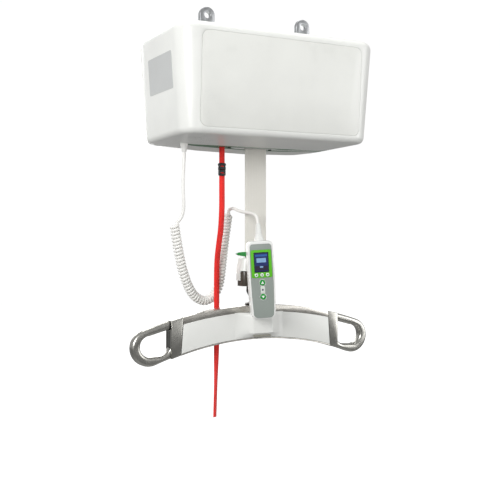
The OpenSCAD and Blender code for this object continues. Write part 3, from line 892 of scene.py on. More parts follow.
@dataclass
class CurlyCord:
    """The handset's cord: a straight part, a coil and a lead, one wire all along.

    Attributes:
        wire: Diameter of the wire.
        coil: Outer diameter of the coil.
        pitch: Distance from turn to turn.
        per_turn: Points drawn for each turn.
    """

    wire: float = 6.4
    coil: float = 20
    pitch: float = 6.7
    per_turn: int = 14

    straight = (
        (-158, 0, -272), (-158, 0, -284), (-159, 0, -300), (-160, 0, -325),
        (-160, 0, -350), (-159, 0, -371), (-159, 1, -386), (-162, 3, -399),
        (-167, 5, -407), (-170, 6, -410),
    )
    middle = (
        (-176, 6, -416), (-172, 8, -435), (-163, 13, -474), (-152, 19, -508),
        (-138, 26, -537), (-120, 34, -558), (-98, 41, -568), (-78, 46, -563),
        (-65, 47, -548), (-58, 47, -527), (-53, 46, -486), (-50, 41, -443),
        (-48, 34, -408), (-48, 29, -390),
    )
    lead = (
        (-48, 29, -390), (-46, 26, -383), (-42, 17, -381), (-37, 3, -386),
        (-33, -14, -389), (-29, -31, -391), (-26, -44, -394), (-24.4, -52, -401),
        (-24.2, -55.2, -412),
    )

    def helix(self, start: Vector) -> list[Vector]:
        """Winds the wire round the coil's middle line.

        Args:
            start: Where the straight part ends; the first turn begins there.

        Returns:
            The points of all turns, closing in on the middle line at the end.
        """
        line = through([mm(*p) for p in self.middle], 60)
        total = route_length(line)
        turns = total / (self.pitch * MM)
        radius = (self.coil - self.wire) / 2 * MM
        along, side = 0.0, None
        first = start - line[0]
        points: list[Vector] = []
        marks: list[tuple[float, Vector, Vector, Vector]] = []
        for i, place in enumerate(line):
            heading = (line[min(i + 1, len(line) - 1)] - line[max(i - 1, 0)]).normalized()
            side = first if side is None else side
            side = (side - heading * side.dot(heading)).normalized()
            marks.append((along, place, side.copy(), heading.cross(side)))
            along += (line[min(i + 1, len(line) - 1)] - place).length
        count = int(turns * self.per_turn)
        index = 0
        for k in range(count + 1):
            at = total * k / count
            while index < len(marks) - 2 and marks[index + 1][0] < at:
                index += 1
            a, b = marks[index], marks[index + 1]
            share = (at - a[0]) / max(b[0] - a[0], 1e-9)
            place, u, v = (a[n].lerp(b[n], min(1.0, share)) for n in (1, 2, 3))
            opening = first.length / radius + (1 - first.length / radius) * ease(k / (0.6 * self.per_turn))
            closing = ease((count - k) / (0.9 * self.per_turn))
            turn = 2 * math.pi * k / self.per_turn
            points.append(place + (u * math.cos(turn) + v * math.sin(turn)) * radius * min(opening, 1) * closing)
        return points

    def build(self, shop: Workshop) -> None:
        """Makes the whole cord as one tube: straight part, coil and lead."""
        start = through([mm(*p) for p in self.straight], 4)
        end = through([mm(*p) for p in self.lead], 4)
        path = start + self.helix(start[-1])[1:] + end[2:]
        curve = bpy.data.curves.new("curly_cord", "CURVE")
        curve.dimensions = "3D"
        curve.bevel_depth = self.wire / 2 * MM
        curve.bevel_resolution = 3
        curve.use_fill_caps = True
        spline = curve.splines.new("POLY")
        spline.points.add(len(path) - 1)
        for point, place in zip(spline.points, path):
            point.co = (*place, 1)
        cord = bpy.data.objects.new("curly_cord", curve)
        bpy.context.scene.collection.objects.link(cord)
        activate(cord)
        bpy.ops.object.convert(target="MESH")
        cord = bpy.context.object
        face_out(cord)
        shop.paint(cord, "cord")
        shop.smooth(cord, 60)
        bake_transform(cord)
        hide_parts("cord_straight", "cord_coil", "cord_lead")


@dataclass
class PullStrap:
    """The red webbing that works the emergency switch, with its buckle.

    Attributes:
        width: Width of the webbing.
        thick: Thickness of the webbing.
        twist: Turn of the lower end about its own length, in degrees.
    """

    width: float = 12
    thick: float = 1.8
    twist: float = 38

    upper = ((-76, 0, -257), (-76, 0, -268), (-76, 0, -280), (-76, 0, -291))
    lower = (
        (-76, 0, -317), (-76, 0, -345), (-76, 0, -375), (-76, 2, -400), (-75, 8, -425),
        (-74, 18, -452), (-73, 27, -478), (-72, 32, -500), (-72, 33, -530),
        (-72, 33, -580), (-72, 33, -640), (-73, 32.5, -690), (-75, 31, -740),
        (-78, 29, -804),
    )

    def ribbon(self, path: Sequence[Vector]) -> bpy.types.Object:
        """Weaves the flat strap along its path, with a map for the weave.

        Args:
            path: The points down its middle.

        Returns:
            The closed ribbon.
        """
        half_w, half_t = self.width / 2 * MM, self.thick / 2 * MM
        section = [(-half_w, -half_t * 0.5), (-half_w * 0.93, -half_t), (0.0, -half_t * 0.86),
                   (half_w * 0.93, -half_t), (half_w, -half_t * 0.5), (half_w, half_t * 0.5),
                   (half_w * 0.93, half_t), (0.0, half_t * 0.86), (-half_w * 0.93, half_t),
                   (-half_w, half_t * 0.5)]
        rings: list[list[Vector]] = []
        for i, place in enumerate(path):
            heading = (path[min(i + 1, len(path) - 1)] - path[max(i - 1, 0)]).normalized()
            turn = math.radians(self.twist * ease((-0.64 - place.z) / 0.11) + 2 * math.sin(place.z * 19))
            across = Vector((math.cos(turn), math.sin(turn), 0))
            across = (across - heading * across.dot(heading)).normalized()
            out = heading.cross(across)
            rings.append([place + across * x + out * y for x, y in section])
        strap = loft("pull_strap", rings)
        mapping = strap.data.uv_layers.new(name="weave")
        for loop in strap.data.loops:
            spot = strap.data.vertices[loop.vertex_index].co
            near = min(range(len(path)), key=lambda n: (path[n] - spot).length_squared)
            ring = rings[near]
            across = (ring[5] - ring[0]).normalized()
            mapping.data[loop.index].uv = ((spot - path[near]).dot(across), spot.z)
        return strap

    def half_buckle(self, name: str, width: float, low: float, high: float, deep: float) -> bpy.types.Object:
        """One half of the buckle, a rounded block with a window for its bar."""
        x = self.upper[0][0]
        block = plate(name, round_box(width, high - low, 3, x, (low + high) / 2), -deep / 2, deep / 2, 1.2)
        window = plate("window", round_box(width - 7, 2.4, 0.8, x, (low + high) / 2), -deep, deep)
        return combine(block, window, Join.CUT)

    def build(self, shop: Workshop) -> None:
        """Makes the strap, the buckle's two halves and its two prongs."""
        path = through([mm(*p) for p in self.upper] + [mm(*p) for p in self.lower], 4)
        strap = self.ribbon(path)
        shop.deliver(strap, "pull", "red webbing", ["pull_strap_upper", "pull_strap_lower"], 50)
        socket = self.half_buckle("buckle_socket_body", 16, -304, -291, 6.4)
        x = self.upper[0][0]
        for side in (-1, 1):
            notch = plate("notch", round_box(3.2, 6, 1.2, x + side * 8, -299), -9, 9)
            combine(socket, notch, Join.CUT)
        plug = self.half_buckle("buckle_plug_body", 15, -317, -304.2, 5.2)
        for side in (-1, 1):
            prong = plate("prong", round_box(2.6, 7, 1.1, x + side * 6.6, -302), -2, 2, 0.6)
            shop.deliver(prong, "pull", "black")
            prong.name = f"buckle_prong_{'left' if side < 0 else 'right'}"
        shop.deliver(socket, "pull", "black", ["buckle_socket"])
        shop.deliver(plug, "pull", "black", ["buckle_plug"])


@dataclass
class LiftStrap:
    """The load strap between the drum and the bracket.

    Attributes:
        ribs: Raised ribs across the width.
        rib_depth: Depth between the ribs.
        rings: Stations along it, so that it can stretch evenly.
    """

    ribs: int = 12
    rib_depth: float = 0.22
    rings: int = 36

    def build(self, shop: Workshop) -> None:
        """Makes the ribbed strap."""
        low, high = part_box("lift_strap")
        width, thick = high.x - low.x, high.y - low.y
        count = self.ribs * 4
        face: list[tuple[float, float]] = []
        for i in range(count + 1):
            share = i / count
            dent = self.rib_depth * MM * (0.5 - 0.5 * math.cos(2 * math.pi * self.ribs * share))
            edge = 0.0004 if i in (0, count) else 0.0
            face.append((low.x + width * share, thick / 2 - edge - dent))
        section = [(x, -y) for x, y in face] + [(x, y) for x, y in reversed(face)]
        heights = [high.z + (low.z - high.z) * i / self.rings for i in range(self.rings + 1)]
        strap = loft("load_strap", [[Vector((x, y, z)) for x, y in section] for z in heights])
        shop.paint(strap, "lift webbing")
        shop.smooth(strap, 50)
        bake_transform(strap)
        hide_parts("lift_strap")
        LOG.info("load_strap is %.2f m long", high.z - low.z)


# ---------- casing ----------


@dataclass
class Casing:
    """The motor casing: shell, back cover, front panel, label, strip and lugs.

    Attributes:
        top: Width, depth and corner radius at the top edge.
        bottom: Width, depth and corner radius at the bottom edge.
        top_z: Height of the top.
        top_edge: Radius of the top edge.
        bottom_edge: Radius of the bottom edge.
        edge_z: Bottom edge height at the front and at the back.
        belly_z: Lowest point of the underside.
        belly_y: Where the underside is lowest.
        wall: Wall thickness.
        split_y: Where the back cover starts.
        panel_half: Half width of the front panel.
        panel_z: Lower and upper edge of the front panel.
        strip_half: Half length of the underside strip.
        strip_w: Width of the underside strip.
        gland_x: Place of the cord gland.
        pull_x: Place of the pull strap.
    """

    top: tuple[float, float, float] = (434, 250, 42)
    bottom: tuple[float, float, float] = (410, 230, 38)
    top_z: float = -42
    top_edge: float = 16
    bottom_edge: float = 12
    edge_z: tuple[float, float] = (-248, -252)
    belly_z: float = -265.5
    belly_y: float = 55
    wall: float = 3
    split_y: float = 82
    panel_half: float = 175
    panel_z: tuple[float, float] = (-235, -60)
    strip_half: float = 178
    strip_w: float = 27
    gland_x: float = -158
    pull_x: float = -76

    def low_edge(self, y: float) -> float:
        """Height of the bottom edge at a depth."""
        front, back = self.edge_z
        return front + (back - front) * (y / self.bottom[1] + 0.5)

    def underside(self, x: float, y: float) -> float:
        """Height of the underside, which slopes down to a crest behind the middle."""
        reach = self.bottom[1] / 2 - self.bottom_edge
        side = self.bottom[0] / 2 - self.bottom_edge
        ridge = (y + reach) / (self.belly_y + reach) if y < self.belly_y else (reach - y) / (reach - self.belly_y)
        end = (side - abs(x)) / (side - 125)
        nearer, gap = min(ridge, end), abs(ridge - end)
        share = min(1.0, max(0.0, nearer - 0.06 * max(0.0, 1 - gap / 0.25) ** 2))
        lowest = self.belly_z + 3 * min(1.0, abs(x) / 125)
        return self.low_edge(y) + (lowest - self.low_edge(y)) * share

    def ring(self, width: float, depth: float, radius: float, height: Callable[[float, float], float]) -> list[Vector]:
        """A level station of the casing with points along its straight sides.

        Args:
            width: Width of the station.
            depth: Depth of the station.
            radius: Corner radius.
            height: Gives the height at x and y.

        Returns:
            The station's points in metres.
        """
        x, y = width / 2 - radius, depth / 2 - radius
        points: Outline = []
        for sx, sy, start, steps in ((1, 1, 0, 16), (-1, 1, 90, 8), (-1, -1, 180, 16), (1, -1, 270, 8)):
            points += arc(sx * x, sy * y, radius, start, start + 90, 10)
            if steps == 16:
                tail, nxt = (sx * x, sy * (y + radius)), (-sx * x, sy * (y + radius))
            else:
                tail, nxt = (sx * (x + radius), sy * y), (sx * (x + radius), -sy * y)
            points += [(tail[0] + (nxt[0] - tail[0]) * k / steps, tail[1] + (nxt[1] - tail[1]) * k / steps)
                       for k in range(1, steps)]
        return [mm(px, py, height(px, py)) for px, py in points]

    def form(self, name: str, inset: float) -> bpy.types.Object:
        """The casing's closed outer form, moved inwards by inset.

        Args:
            name: Name of the form.
            inset: Distance inwards; a negative one is outwards.

        Returns:
            The closed form.
        """
        (top_w, top_d, top_r), (low_w, low_d, low_r) = self.top, self.bottom
        rings: list[list[Vector]] = []
        edge = self.top_edge - inset
        for step in range(7):
            back = inset + edge * (1 - math.sin(math.pi / 12 * step))
            z = self.top_z - inset - edge * (1 - math.cos(math.pi / 12 * step))
            rings.append(self.ring(top_w - 2 * back, top_d - 2 * back, top_r - back, lambda x, y, z=z: z))
        edge = self.bottom_edge - inset
        for step in range(7):
            back = inset + edge * (1 - math.cos(math.pi / 12 * step))
            drop = edge * math.sin(math.pi / 12 * step) - self.bottom_edge
            rings.append(self.ring(low_w - 2 * back, low_d - 2 * back, low_r - back,
                                   lambda x, y, d=drop: self.low_edge(y) - d))
        for back in (15, 22, 31, 42, 54, 60, 66, 78, 90, 100):
            rings.append(self.ring(low_w - 2 * back, low_d - 2 * back, max(4, low_r - back),
                                   lambda x, y: self.underside(x, y) + inset))
        return loft(name, rings)

    def lens(self, extra: float) -> Outline:
        """Outline of the underside strip, pointed at its right end and cut at the gland."""
        half_w, half_l = self.strip_w / 2 + extra, self.strip_half + extra
        radius = (half_l ** 2 + half_w ** 2) / (2 * half_w)
        reach = lambda x: math.sqrt(radius ** 2 - x ** 2) - radius + half_w
        xs = [self.gland_x + (half_l - self.gland_x) * i / 60 for i in range(61)]
        return [(x, -reach(x)) for x in xs[:-1]] + [(x, reach(x)) for x in reversed(xs)]

    def prism(self, extra: float) -> bpy.types.Object:
        """The block whose outline the front panel has."""
        low, high = self.panel_z
        outline = round_box(2 * (self.panel_half + extra), high - low + 2 * extra, 14, 0, (low + high) / 2)
        return plate("prism", outline, -200, -60)

    def slots(self) -> list[bpy.types.Object]:
        """Solids that open the underside for the strap, the pull strap and the cord gland."""
        gland = turned("gland hole", [(7.9, -290), (7.9, -235)])
        gland.data.transform(Matrix.Translation(mm(self.gland_x, 0, 0)))
        return [
            box_tool(mm(-26, -3.5, -290), mm(26, 3.5, -230)),
            box_tool(mm(self.pull_x - 9, -3.5, -290), mm(self.pull_x + 9, 3.5, -230)),
            gland,
        ]

    def shell(self, shop: Workshop) -> None:
        """Makes the main shell and the back cover."""
        whole = combine(self.form("shell", 0), self.form("core", self.wall), Join.CUT)
        for tool in self.slots():
            combine(whole, tool, Join.CUT)
        combine(whole, combine(self.prism(0.5), self.form("keep", 1.5), Join.CUT), Join.CUT)
        low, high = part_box("suspension_lugs")
        for side in (-1, 1):
            x = side * (high.x - 0.016)
            combine(whole, box_tool(Vector((x - 0.017, low.y - 0.001, -0.07)),
                                    Vector((x + 0.017, high.y + 0.001, 0))), Join.CUT)
        cover = duplicate(whole, "back_cover")
        combine(whole, box_tool(mm(-300, -300, -400), mm(300, self.split_y - 0.25, 50)), Join.KEEP)
        combine(cover, box_tool(mm(-300, self.split_y + 0.25, -400), mm(300, 300, 50)), Join.KEEP)
        for x in (-150, 150):
            for z in (-90, -215):
                hole = turned("screw hole", [(4.2, -20), (4.2, 60)])
                hole.data.transform(Matrix.Translation(mm(x, 100, z)) @ Matrix.Rotation(-math.pi / 2, 4, "X"))
                combine(cover, hole, Join.CUT)
        for piece in (whole, cover):
            soften(piece, 0.5, 2, 40)
        shop.deliver(whole, "casing", "shell", ["casing_front"], 30)
        shop.deliver(cover, "casing", "shell", ["casing_rear"], 30)

    def panel(self, shop: Workshop) -> None:
        """Makes the front panel, set into its groove."""
        face = combine(self.prism(0), self.form("proud", -0.3), Join.KEEP)
        combine(face, self.form("behind", 1.45), Join.CUT)
        face.name = "front_cover"
        soften(face, 0.5, 2, 40)
        shop.deliver(face, "casing", "panel", ["front_panel"], 30)

    def label(self, shop: Workshop) -> None:
        """Makes the blank data plate on the left end."""
        low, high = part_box("side_label")
        block = plate("data_plate", round_box((high.y - low.y) / MM, (high.z - low.z) / MM, 4, 0,
                                              (low.z + high.z) / 2 / MM), 150, 260)
        turn = Matrix.Translation((0, (low.y + high.y) / 2, 0)) @ Matrix.Rotation(math.pi / 2, 4, "Z")
        block.data.transform(turn)
        combine(block, self.form("proud", -0.4), Join.KEEP)
        combine(block, self.form("behind", 0.02), Join.CUT)
        shop.deliver(block, "casing", "plate", ["side_label"])

    def strip(self, shop: Workshop) -> None:
        """Makes the green strip that closes the underside, and its two screws."""
        outline = self.lens(-0.3)
        strip = loft("green_strip", [
            [mm(x, y, self.underside(x, y) + lift) for x, y in outline] for lift in (-0.6, 0.3)])
        for tool in self.slots():
            combine(strip, tool, Join.CUT)
        shop.deliver(strip, "casing", "strip", ["underside_strip"])
        for name, x in (("strip_screw_left", -60), ("strip_screw_right", 33)):
            z = self.underside(x, 0) - 0.6
            head = turned(name, [(3.6, z + 0.4), (3.6, z - 0.5), (3.0, z - 1.1), (1.8, z - 1.1), (1.5, z - 0.2)], 32)
            head.data.transform(Matrix.Translation(mm(x, 0, 0)))
            shop.deliver(head, "casing", "dark screw")

    def lugs(self, shop: Workshop) -> None:
        """Refines the lugs and the gland."""
        lugs = copy_of("suspension_lugs", "hanging_lugs")
        soften(lugs, 1.0, 3)
        shop.deliver(lugs, "casing", "zinc", ["suspension_lugs"])
        gland = copy_of("cord_gland", "gland")
        soften(gland, 0.6, 2)
        shop.deliver(gland, "casing", "cord", ["cord_gland"])

    def build(self, shop: Workshop) -> None:
        """Makes all of the casing."""
        self.shell(shop)
        self.panel(shop)
        self.label(shop)
        self.strip(shop)
        self.lugs(shop)
        shop.dress("dark screw", "casing_screws")


# ---------- bracket ----------


@dataclass
class Bracket:
    """The white cover under the lift strap, with the release tab and the swivel's block.

    Attributes:
        half_w: Half width.
        half_d: Half depth.
        corner: Radius of the upright corners.
        top: Height of the top.
        bottom: Height of the bottom.
        wall: Wall thickness.
        window: Front edge and top of the wall round the window.
        lever: Place of the tab's pin across and up.
    """

    half_w: float = 39
    half_d: float = 19
    corner: float = 12
    top: float = -480
    bottom: float = -527
    wall: float = 2.2
    window: tuple[float, float] = (-6, -507.6)
    lever: tuple[float, float] = (12, -483)

    def station(self, inset: float, trim: float, z: float) -> list[Vector]:
        """A level outline of the cover.

        Args:
            inset: Distance inwards of the whole form.
            trim: What the round top edge takes off here.
            z: Height.

        Returns:
            The outline in metres.
        """
        slope = min(1.0, max(0.0, (z - self.top + 28) / 28))
        half_w = self.half_w - inset - 4.4 * slope ** 1.3 - trim
        half_d = self.half_d - inset - trim
        radius = max(2.0, self.corner - inset - trim)
        x, y = half_w - radius, half_d - radius
        points: Outline = []
        for sx, sy, start in ((1, 1, 0), (-1, 1, 90), (-1, -1, 180), (1, -1, 270)):
            points += arc(sx * x, sy * y, radius, start, start + 90, 10)
        return [mm(px, py, z) for px, py in points]

    def form(self, name: str, inset: float, low: float) -> bpy.types.Object:
        """The cover's closed form with a round top edge.

        Args:
            name: Name of the form.
            inset: Distance inwards.
            low: Height of its foot.

        Returns:
            The form.
        """
        edge = 3.4 - inset
        top = self.top - inset
        rounds = [math.pi / 12 * k for k in range(7)]
        levels = [(top - edge * (1 - math.cos(turn)), edge * (1 - math.sin(turn))) for turn in rounds]
        levels += [(top - edge - 4 * k, 0.0) for k in range(1, 7)] + [(low, 0.0)]
        return loft(name, [self.station(inset, trim, z) for z, trim in levels])

    def half(self, name: str, y0: float, y1: float) -> bpy.types.Object:
        """One half of the cover.

        Args:
            name: Name of the half.
            y0: Its front.
            y1: Its back.

        Returns:
            The hollow half with its openings.
        """
        piece = self.form(name, 0, self.bottom)
        combine(piece, self.form("cavity", self.wall, self.bottom - 5), Join.CUT)
        combine(piece, box_tool(mm(-60, y0, -600), mm(60, y1, -400)), Join.KEEP)
        combine(piece, box_tool(mm(-25.5, -3, -500), mm(25.5, 3, -440)), Join.CUT)
        front, head = self.window
        combine(piece, box_tool(mm(-60, -40, -549), mm(60, front, head)), Join.CUT)
        combine(piece, box_tool(mm(self.lever[0] - 18, -14.5, self.lever[1] - 5.5),
                                mm(self.lever[0] + 14, -4, -440)), Join.CUT)
        return piece

    def build(self, shop: Workshop) -> None:
        """Makes the cover, its block and its tab."""
        front = self.half("bracket_cover_front", -30, -0.15)
        boss = box_tool(mm(self.lever[0] - 6, -17.5, self.lever[1] - 8), mm(self.lever[0] + 6, -14.5, self.lever[1] + 2))
        combine(front, boss, Join.ADD)
        rear = self.half("bracket_cover_rear", 0.15, 30)
        for piece, node in ((front, "bracket_front"), (rear, "bracket_rear")):
            soften(piece, 0.35, 2, 50)
            shop.deliver(piece, "bracket", "bracket", [node])
        block = copy_of("coupling_block", "swivel_block")
        soften(block, 1.4, 3)
        shop.deliver(block, "bracket", "bronze", ["coupling_block"])
        tab = copy_of("release_lever", "release_tab")
        soften(tab, 1.1, 3)
        shop.deliver(tab, "lever", "tab", ["release_lever"])
        holder = copy_of("handset_holder", "handset_hanger")
        soften(holder, 0.7, 2)
        shop.deliver(holder, "bracket", "bracket", ["handset_holder"])
        shop.dress("ground steel", "strap_pin", "lever_pin")


# ---------- handset ----------


@dataclass
class Handset:
    """The hand control, built upright about its own middle and then hung in place.

    Attributes:
        width: Width at the top.
        height: Height.
        thick: Thickness.
        centre: Its middle.
        turn: Turn about the upright axis in degrees.
        lean: Lean of its top to the left in degrees.
        rim: Rounding of the shells' edges.
        belly: Height where it is widest, and how fast its sides curve in.
        face_z: Lower and upper end of the membrane plate.
        row_z: Height of the row of small keys.
        row_pitch: Distance between the small keys.
        arrow_z: Heights of the up and down keys.
        bezel: Width, height and middle height of the bezel.
        display: Width, height and middle height of the display.
    """

    width: float = 51.6
    height: float = 153
    thick: float = 26
    centre: tuple[float, float, float] = (-18.1, -57.6, -523)
    turn: float = -18
    lean: float = -3.2
    rim: float = 3
    belly: tuple[float, float] = (15, 0.00034)
    face_z: tuple[float, float] = (-74.5, 70.5)
    row_z: float = 9.8
    row_pitch: float = 11.2
    arrow_z: tuple[float, float] = (-5.5, -32.9)
    bezel: tuple[float, float, float] = (41, 54.4, 31.7)
    display: tuple[float, float, float] = (29.3, 39, 34.5)

    @property
    def face(self) -> float:
        """Y of the front face."""
        return -self.thick / 2

    def barrel(self, half: float, foot: float, top: float, foot_r: float, top_r: float) -> Outline:
        """An outline with curved sides and round corners.

        Args:
            half: Half width at the widest place.
            foot: Lower end.
            top: Upper end.
            foot_r: Radius of the lower corners.
            top_r: Radius of the upper corners.

        Returns:
            The outline.
        """
        widest, curve = self.belly
        side = [foot + foot_r + (top - top_r - foot - foot_r) * k / 8 for k in range(9)]
        edge = [(half - curve * (z - widest) ** 2, z) for z in side]
        right = (arc(edge[0][0] - foot_r, side[0], foot_r, -90, 0, 8) + edge[1:-1]
                 + arc(edge[-1][0] - top_r, side[-1], top_r, 0, 90, 8))
        return right + [(-x, z) for x, z in reversed(right)]

    def outline(self, inset: float) -> Outline:
        """Outline of the shells, narrower at the foot."""
        half = self.height / 2 - inset
        return self.barrel(self.width / 2 - inset, -half, half, 12 - inset, 9 - inset)

    def face_outline(self, inset: float) -> Outline:
        """Outline of the membrane plate."""
        foot, top = self.face_z
        return self.barrel(self.width / 2 - 3.3 - inset, foot + inset, top - inset, 9 - inset, 6 - inset)

    def hang(self, piece: bpy.types.Object) -> bpy.types.Object:
        """Moves a piece from the handset's own frame to its place."""
        piece.data.transform(
            Matrix.Translation(mm(*self.centre))
            @ Matrix.Rotation(math.radians(self.turn), 4, "Z")
            @ Matrix.Rotation(math.radians(self.lean), 4, "Y")
        )
        return piece

    def knob(self, name: str, x: float, z: float, profile: Outline) -> bpy.types.Object:
        """A round form that stands out of the face, its profile measured from the middle plane."""
        knob = turned(name, profile, 40)
        knob.data.transform(Matrix.Translation(mm(x, 0, z)) @ Matrix.Rotation(math.pi / 2, 4, "X"))
        return knob

    def hole(self, x: float, z: float, radius: float) -> bpy.types.Object:
        """A tool for a round hole in the face."""
        return self.knob("hole", x, z, [(radius, 2), (radius, 40)])

    def keys(self) -> list[tuple[str, float, float, float, float]]:
        """Name, place, radius and stand-out of each key."""
        row = [(name, step * self.row_pitch, self.row_z, 3.4, 1.3)
               for name, step in (("left", -1), ("middle", 0), ("right", 1))]
        return row + [(name, 0.0, z, 5.6, 1.4) for name, z in zip(("up", "down"), self.arrow_z)]

    def shells(self, shop: Workshop) -> None:
        """Makes the front and rear shells."""
        front = plate("handset_shell_front", self.outline(0), self.face, -0.15, self.rim, 5, Facing.FRONT)
        combine(front, plate("cavity", self.outline(2.4), self.face + 2.4, 1), Join.CUT)
        combine(front, plate("recess", self.face_outline(-0.1), -30, self.face + 1.2), Join.CUT)
        rear = plate("handset_shell_rear", self.outline(0), 0.15, self.thick / 2, self.rim, 5, Facing.BACK)
        loop = box_tool(mm(-9, 10, 13.5), mm(9, self.thick / 2 + 9, 33.5))
        soften(loop, 1.6, 3)
        combine(rear, loop, Join.ADD)
        combine(rear, plate("cavity", self.outline(2.4), -1, self.thick / 2 - 2.4), Join.CUT)
        combine(rear, box_tool(mm(-5.5, 15, 7.5), mm(5.5, 19, 31.5)), Join.CUT)
        combine(rear, box_tool(mm(-3.8, 15, 7.5), mm(3.8, 25, 27.5)), Join.CUT)
        for piece, node in ((front, "handset_front"), (rear, "handset_rear")):
            shop.deliver(self.hang(piece), "bracket", "handset", [node], 30)

    def front_plates(self, shop: Workshop) -> None:
        """Makes the membrane plate, the bezel and the display."""
        bezel_w, bezel_h, bezel_z = self.bezel
        width, height, middle = self.display
        membrane = plate("membrane", self.face_outline(0.2), self.face - 0.2, self.face + 1.1, 0.3, 2, Facing.FRONT)
        combine(membrane, plate("opening", round_box(bezel_w + 0.4, bezel_h + 0.4, 3, 0, bezel_z), -20, 0), Join.CUT)
        for z in self.arrow_z:
            combine(membrane, self.hole(0, z, 6.2), Join.CUT)
        shop.deliver(self.hang(membrane), "bracket", "membrane", ["faceplate"])
        bezel = plate("display_frame", round_box(bezel_w, bezel_h, 3, 0, bezel_z), self.face - 0.5,
                      self.face + 1.1, 0.4, 2, Facing.FRONT)
        combine(bezel, plate("opening", round_box(width + 0.4, height + 0.4, 1.5, 0, middle), -20, 0), Join.CUT)
        for _, x, z, radius, _ in self.keys()[:3]:
            combine(bezel, self.hole(x, z, radius + 0.5), Join.CUT)
        shop.deliver(self.hang(bezel), "bracket", "bezel", ["display_bezel"])
        glass = plate("display_glass", round_box(width, height, 1.3, 0, middle), self.face, self.face + 2.2, 0.3, 2,
                      Facing.FRONT)
        shop.deliver(self.hang(glass), "bracket", "glass", ["display_window"])
        for part, wide, tall, up, finish in (
            ("screen", width - 3, height - 4, 0, "screen"), ("foot", width - 4, 9, -11.5, "screen dim"),
            ("band", width - 5, 4, 13.5, "screen light"), ("field", width - 10.5, 8.5, 4, "screen pale"),
            ("line", 6.5, 3, -9, "screen pale"),
        ):
            proud = {"screen": 0.04, "line": 0.12}.get(part, 0.08)
            area = plate(f"display_{part}", round_box(wide, tall, 0.7, 0, middle + up), self.face - proud, self.face + 0.5)
            shop.deliver(self.hang(area), "bracket", finish)

    def controls(self, shop: Workshop) -> None:
        """Makes the five keys, their marks and the lamp."""
        for name, x, z, radius, proud in self.keys():
            base, tip = 3.5, -self.face + proud
            cap = self.knob(f"{name}_key", x, z, [
                (radius, base), (radius, tip - 0.9), (radius - 0.2, tip - 0.45), (radius - 0.7, tip - 0.12),
                (radius * 0.6, tip), (radius * 0.25, tip + 0.05)])
            arrow = name in ("up", "down")
            finish = "key green" if arrow else "key white"
            shop.deliver(self.hang(cap), f"key_{name}", finish, [f"button_{name}"])
            if arrow:
                ring = self.knob(f"{name}_ring", x, z, [
                    (7.0, 12.9), (7.0, 13.4), (6.8, 13.6), (6.3, 13.6), (6.1, 13.4), (6.1, 12.9)])
                combine(ring, self.hole(x, z, 6.15), Join.CUT)
                shop.deliver(self.hang(ring), "bracket", "key ring")
                way = 1 if name == "up" else -1
                mark = plate(f"{name}_mark", [(-3, z - way * 2.1), (3, z - way * 2.1), (0, z + way * 3)],
                             self.face - proud - 0.12, self.face - proud + 0.5)
                shop.deliver(self.hang(mark), f"key_{name}", "key white")
            else:
                dot = self.knob(f"{name}_dot", x, z, [(1.5, tip - 0.6), (1.5, tip + 0.08), (1.3, tip + 0.13)])
                shop.deliver(self.hang(dot), f"key_{name}", "key green")
        middle = sum(self.arrow_z) / 2
        bridge = plate("key_bridge", round_box(8.6, 15, 2, 0, middle), self.face - 0.5, self.face + 0.3, 0.25, 2,
                       Facing.FRONT)
        shop.deliver(self.hang(bridge), "bracket", "key ring")
        lamp = self.knob("charge_lamp", 0, middle, [(1.8, 12), (1.8, 13.6), (1.4, 14), (0.6, 14.1)])
        shop.deliver(self.hang(lamp), "bracket", "lamp")

    def collar(self, shop: Workshop) -> None:
        """Makes the cord's collar and ribbed boot."""
        profile = [(8.5, 76.5), (9, 77), (9, 81.4), (8.5, 82), (8, 82.4), (8, 86.4), (7.5, 87), (6.6, 87.4)]
        for rib in range(5):
            z = 89 + rib * 4.3
            wide = 6.6 - 2.3 * (z - 87) / 24
            profile += [(wide, z), (wide, z + 2.6), (wide - 0.7, z + 3.0), (wide - 0.7, z + 3.9)]
        profile += [(3.9, 110.7), (3.5, 111)]
        shop.deliver(self.hang(turned("cord_boot", profile)), "bracket", "handset", ["cord_collar"])

    def build(self, shop: Workshop) -> None:
        """Makes all of the handset."""
        self.shells(shop)
        self.front_plates(shop)
        self.controls(shop)
        self.collar(shop)
        shop.dress("board", "handset_board")


# ---------- sling bar ----------


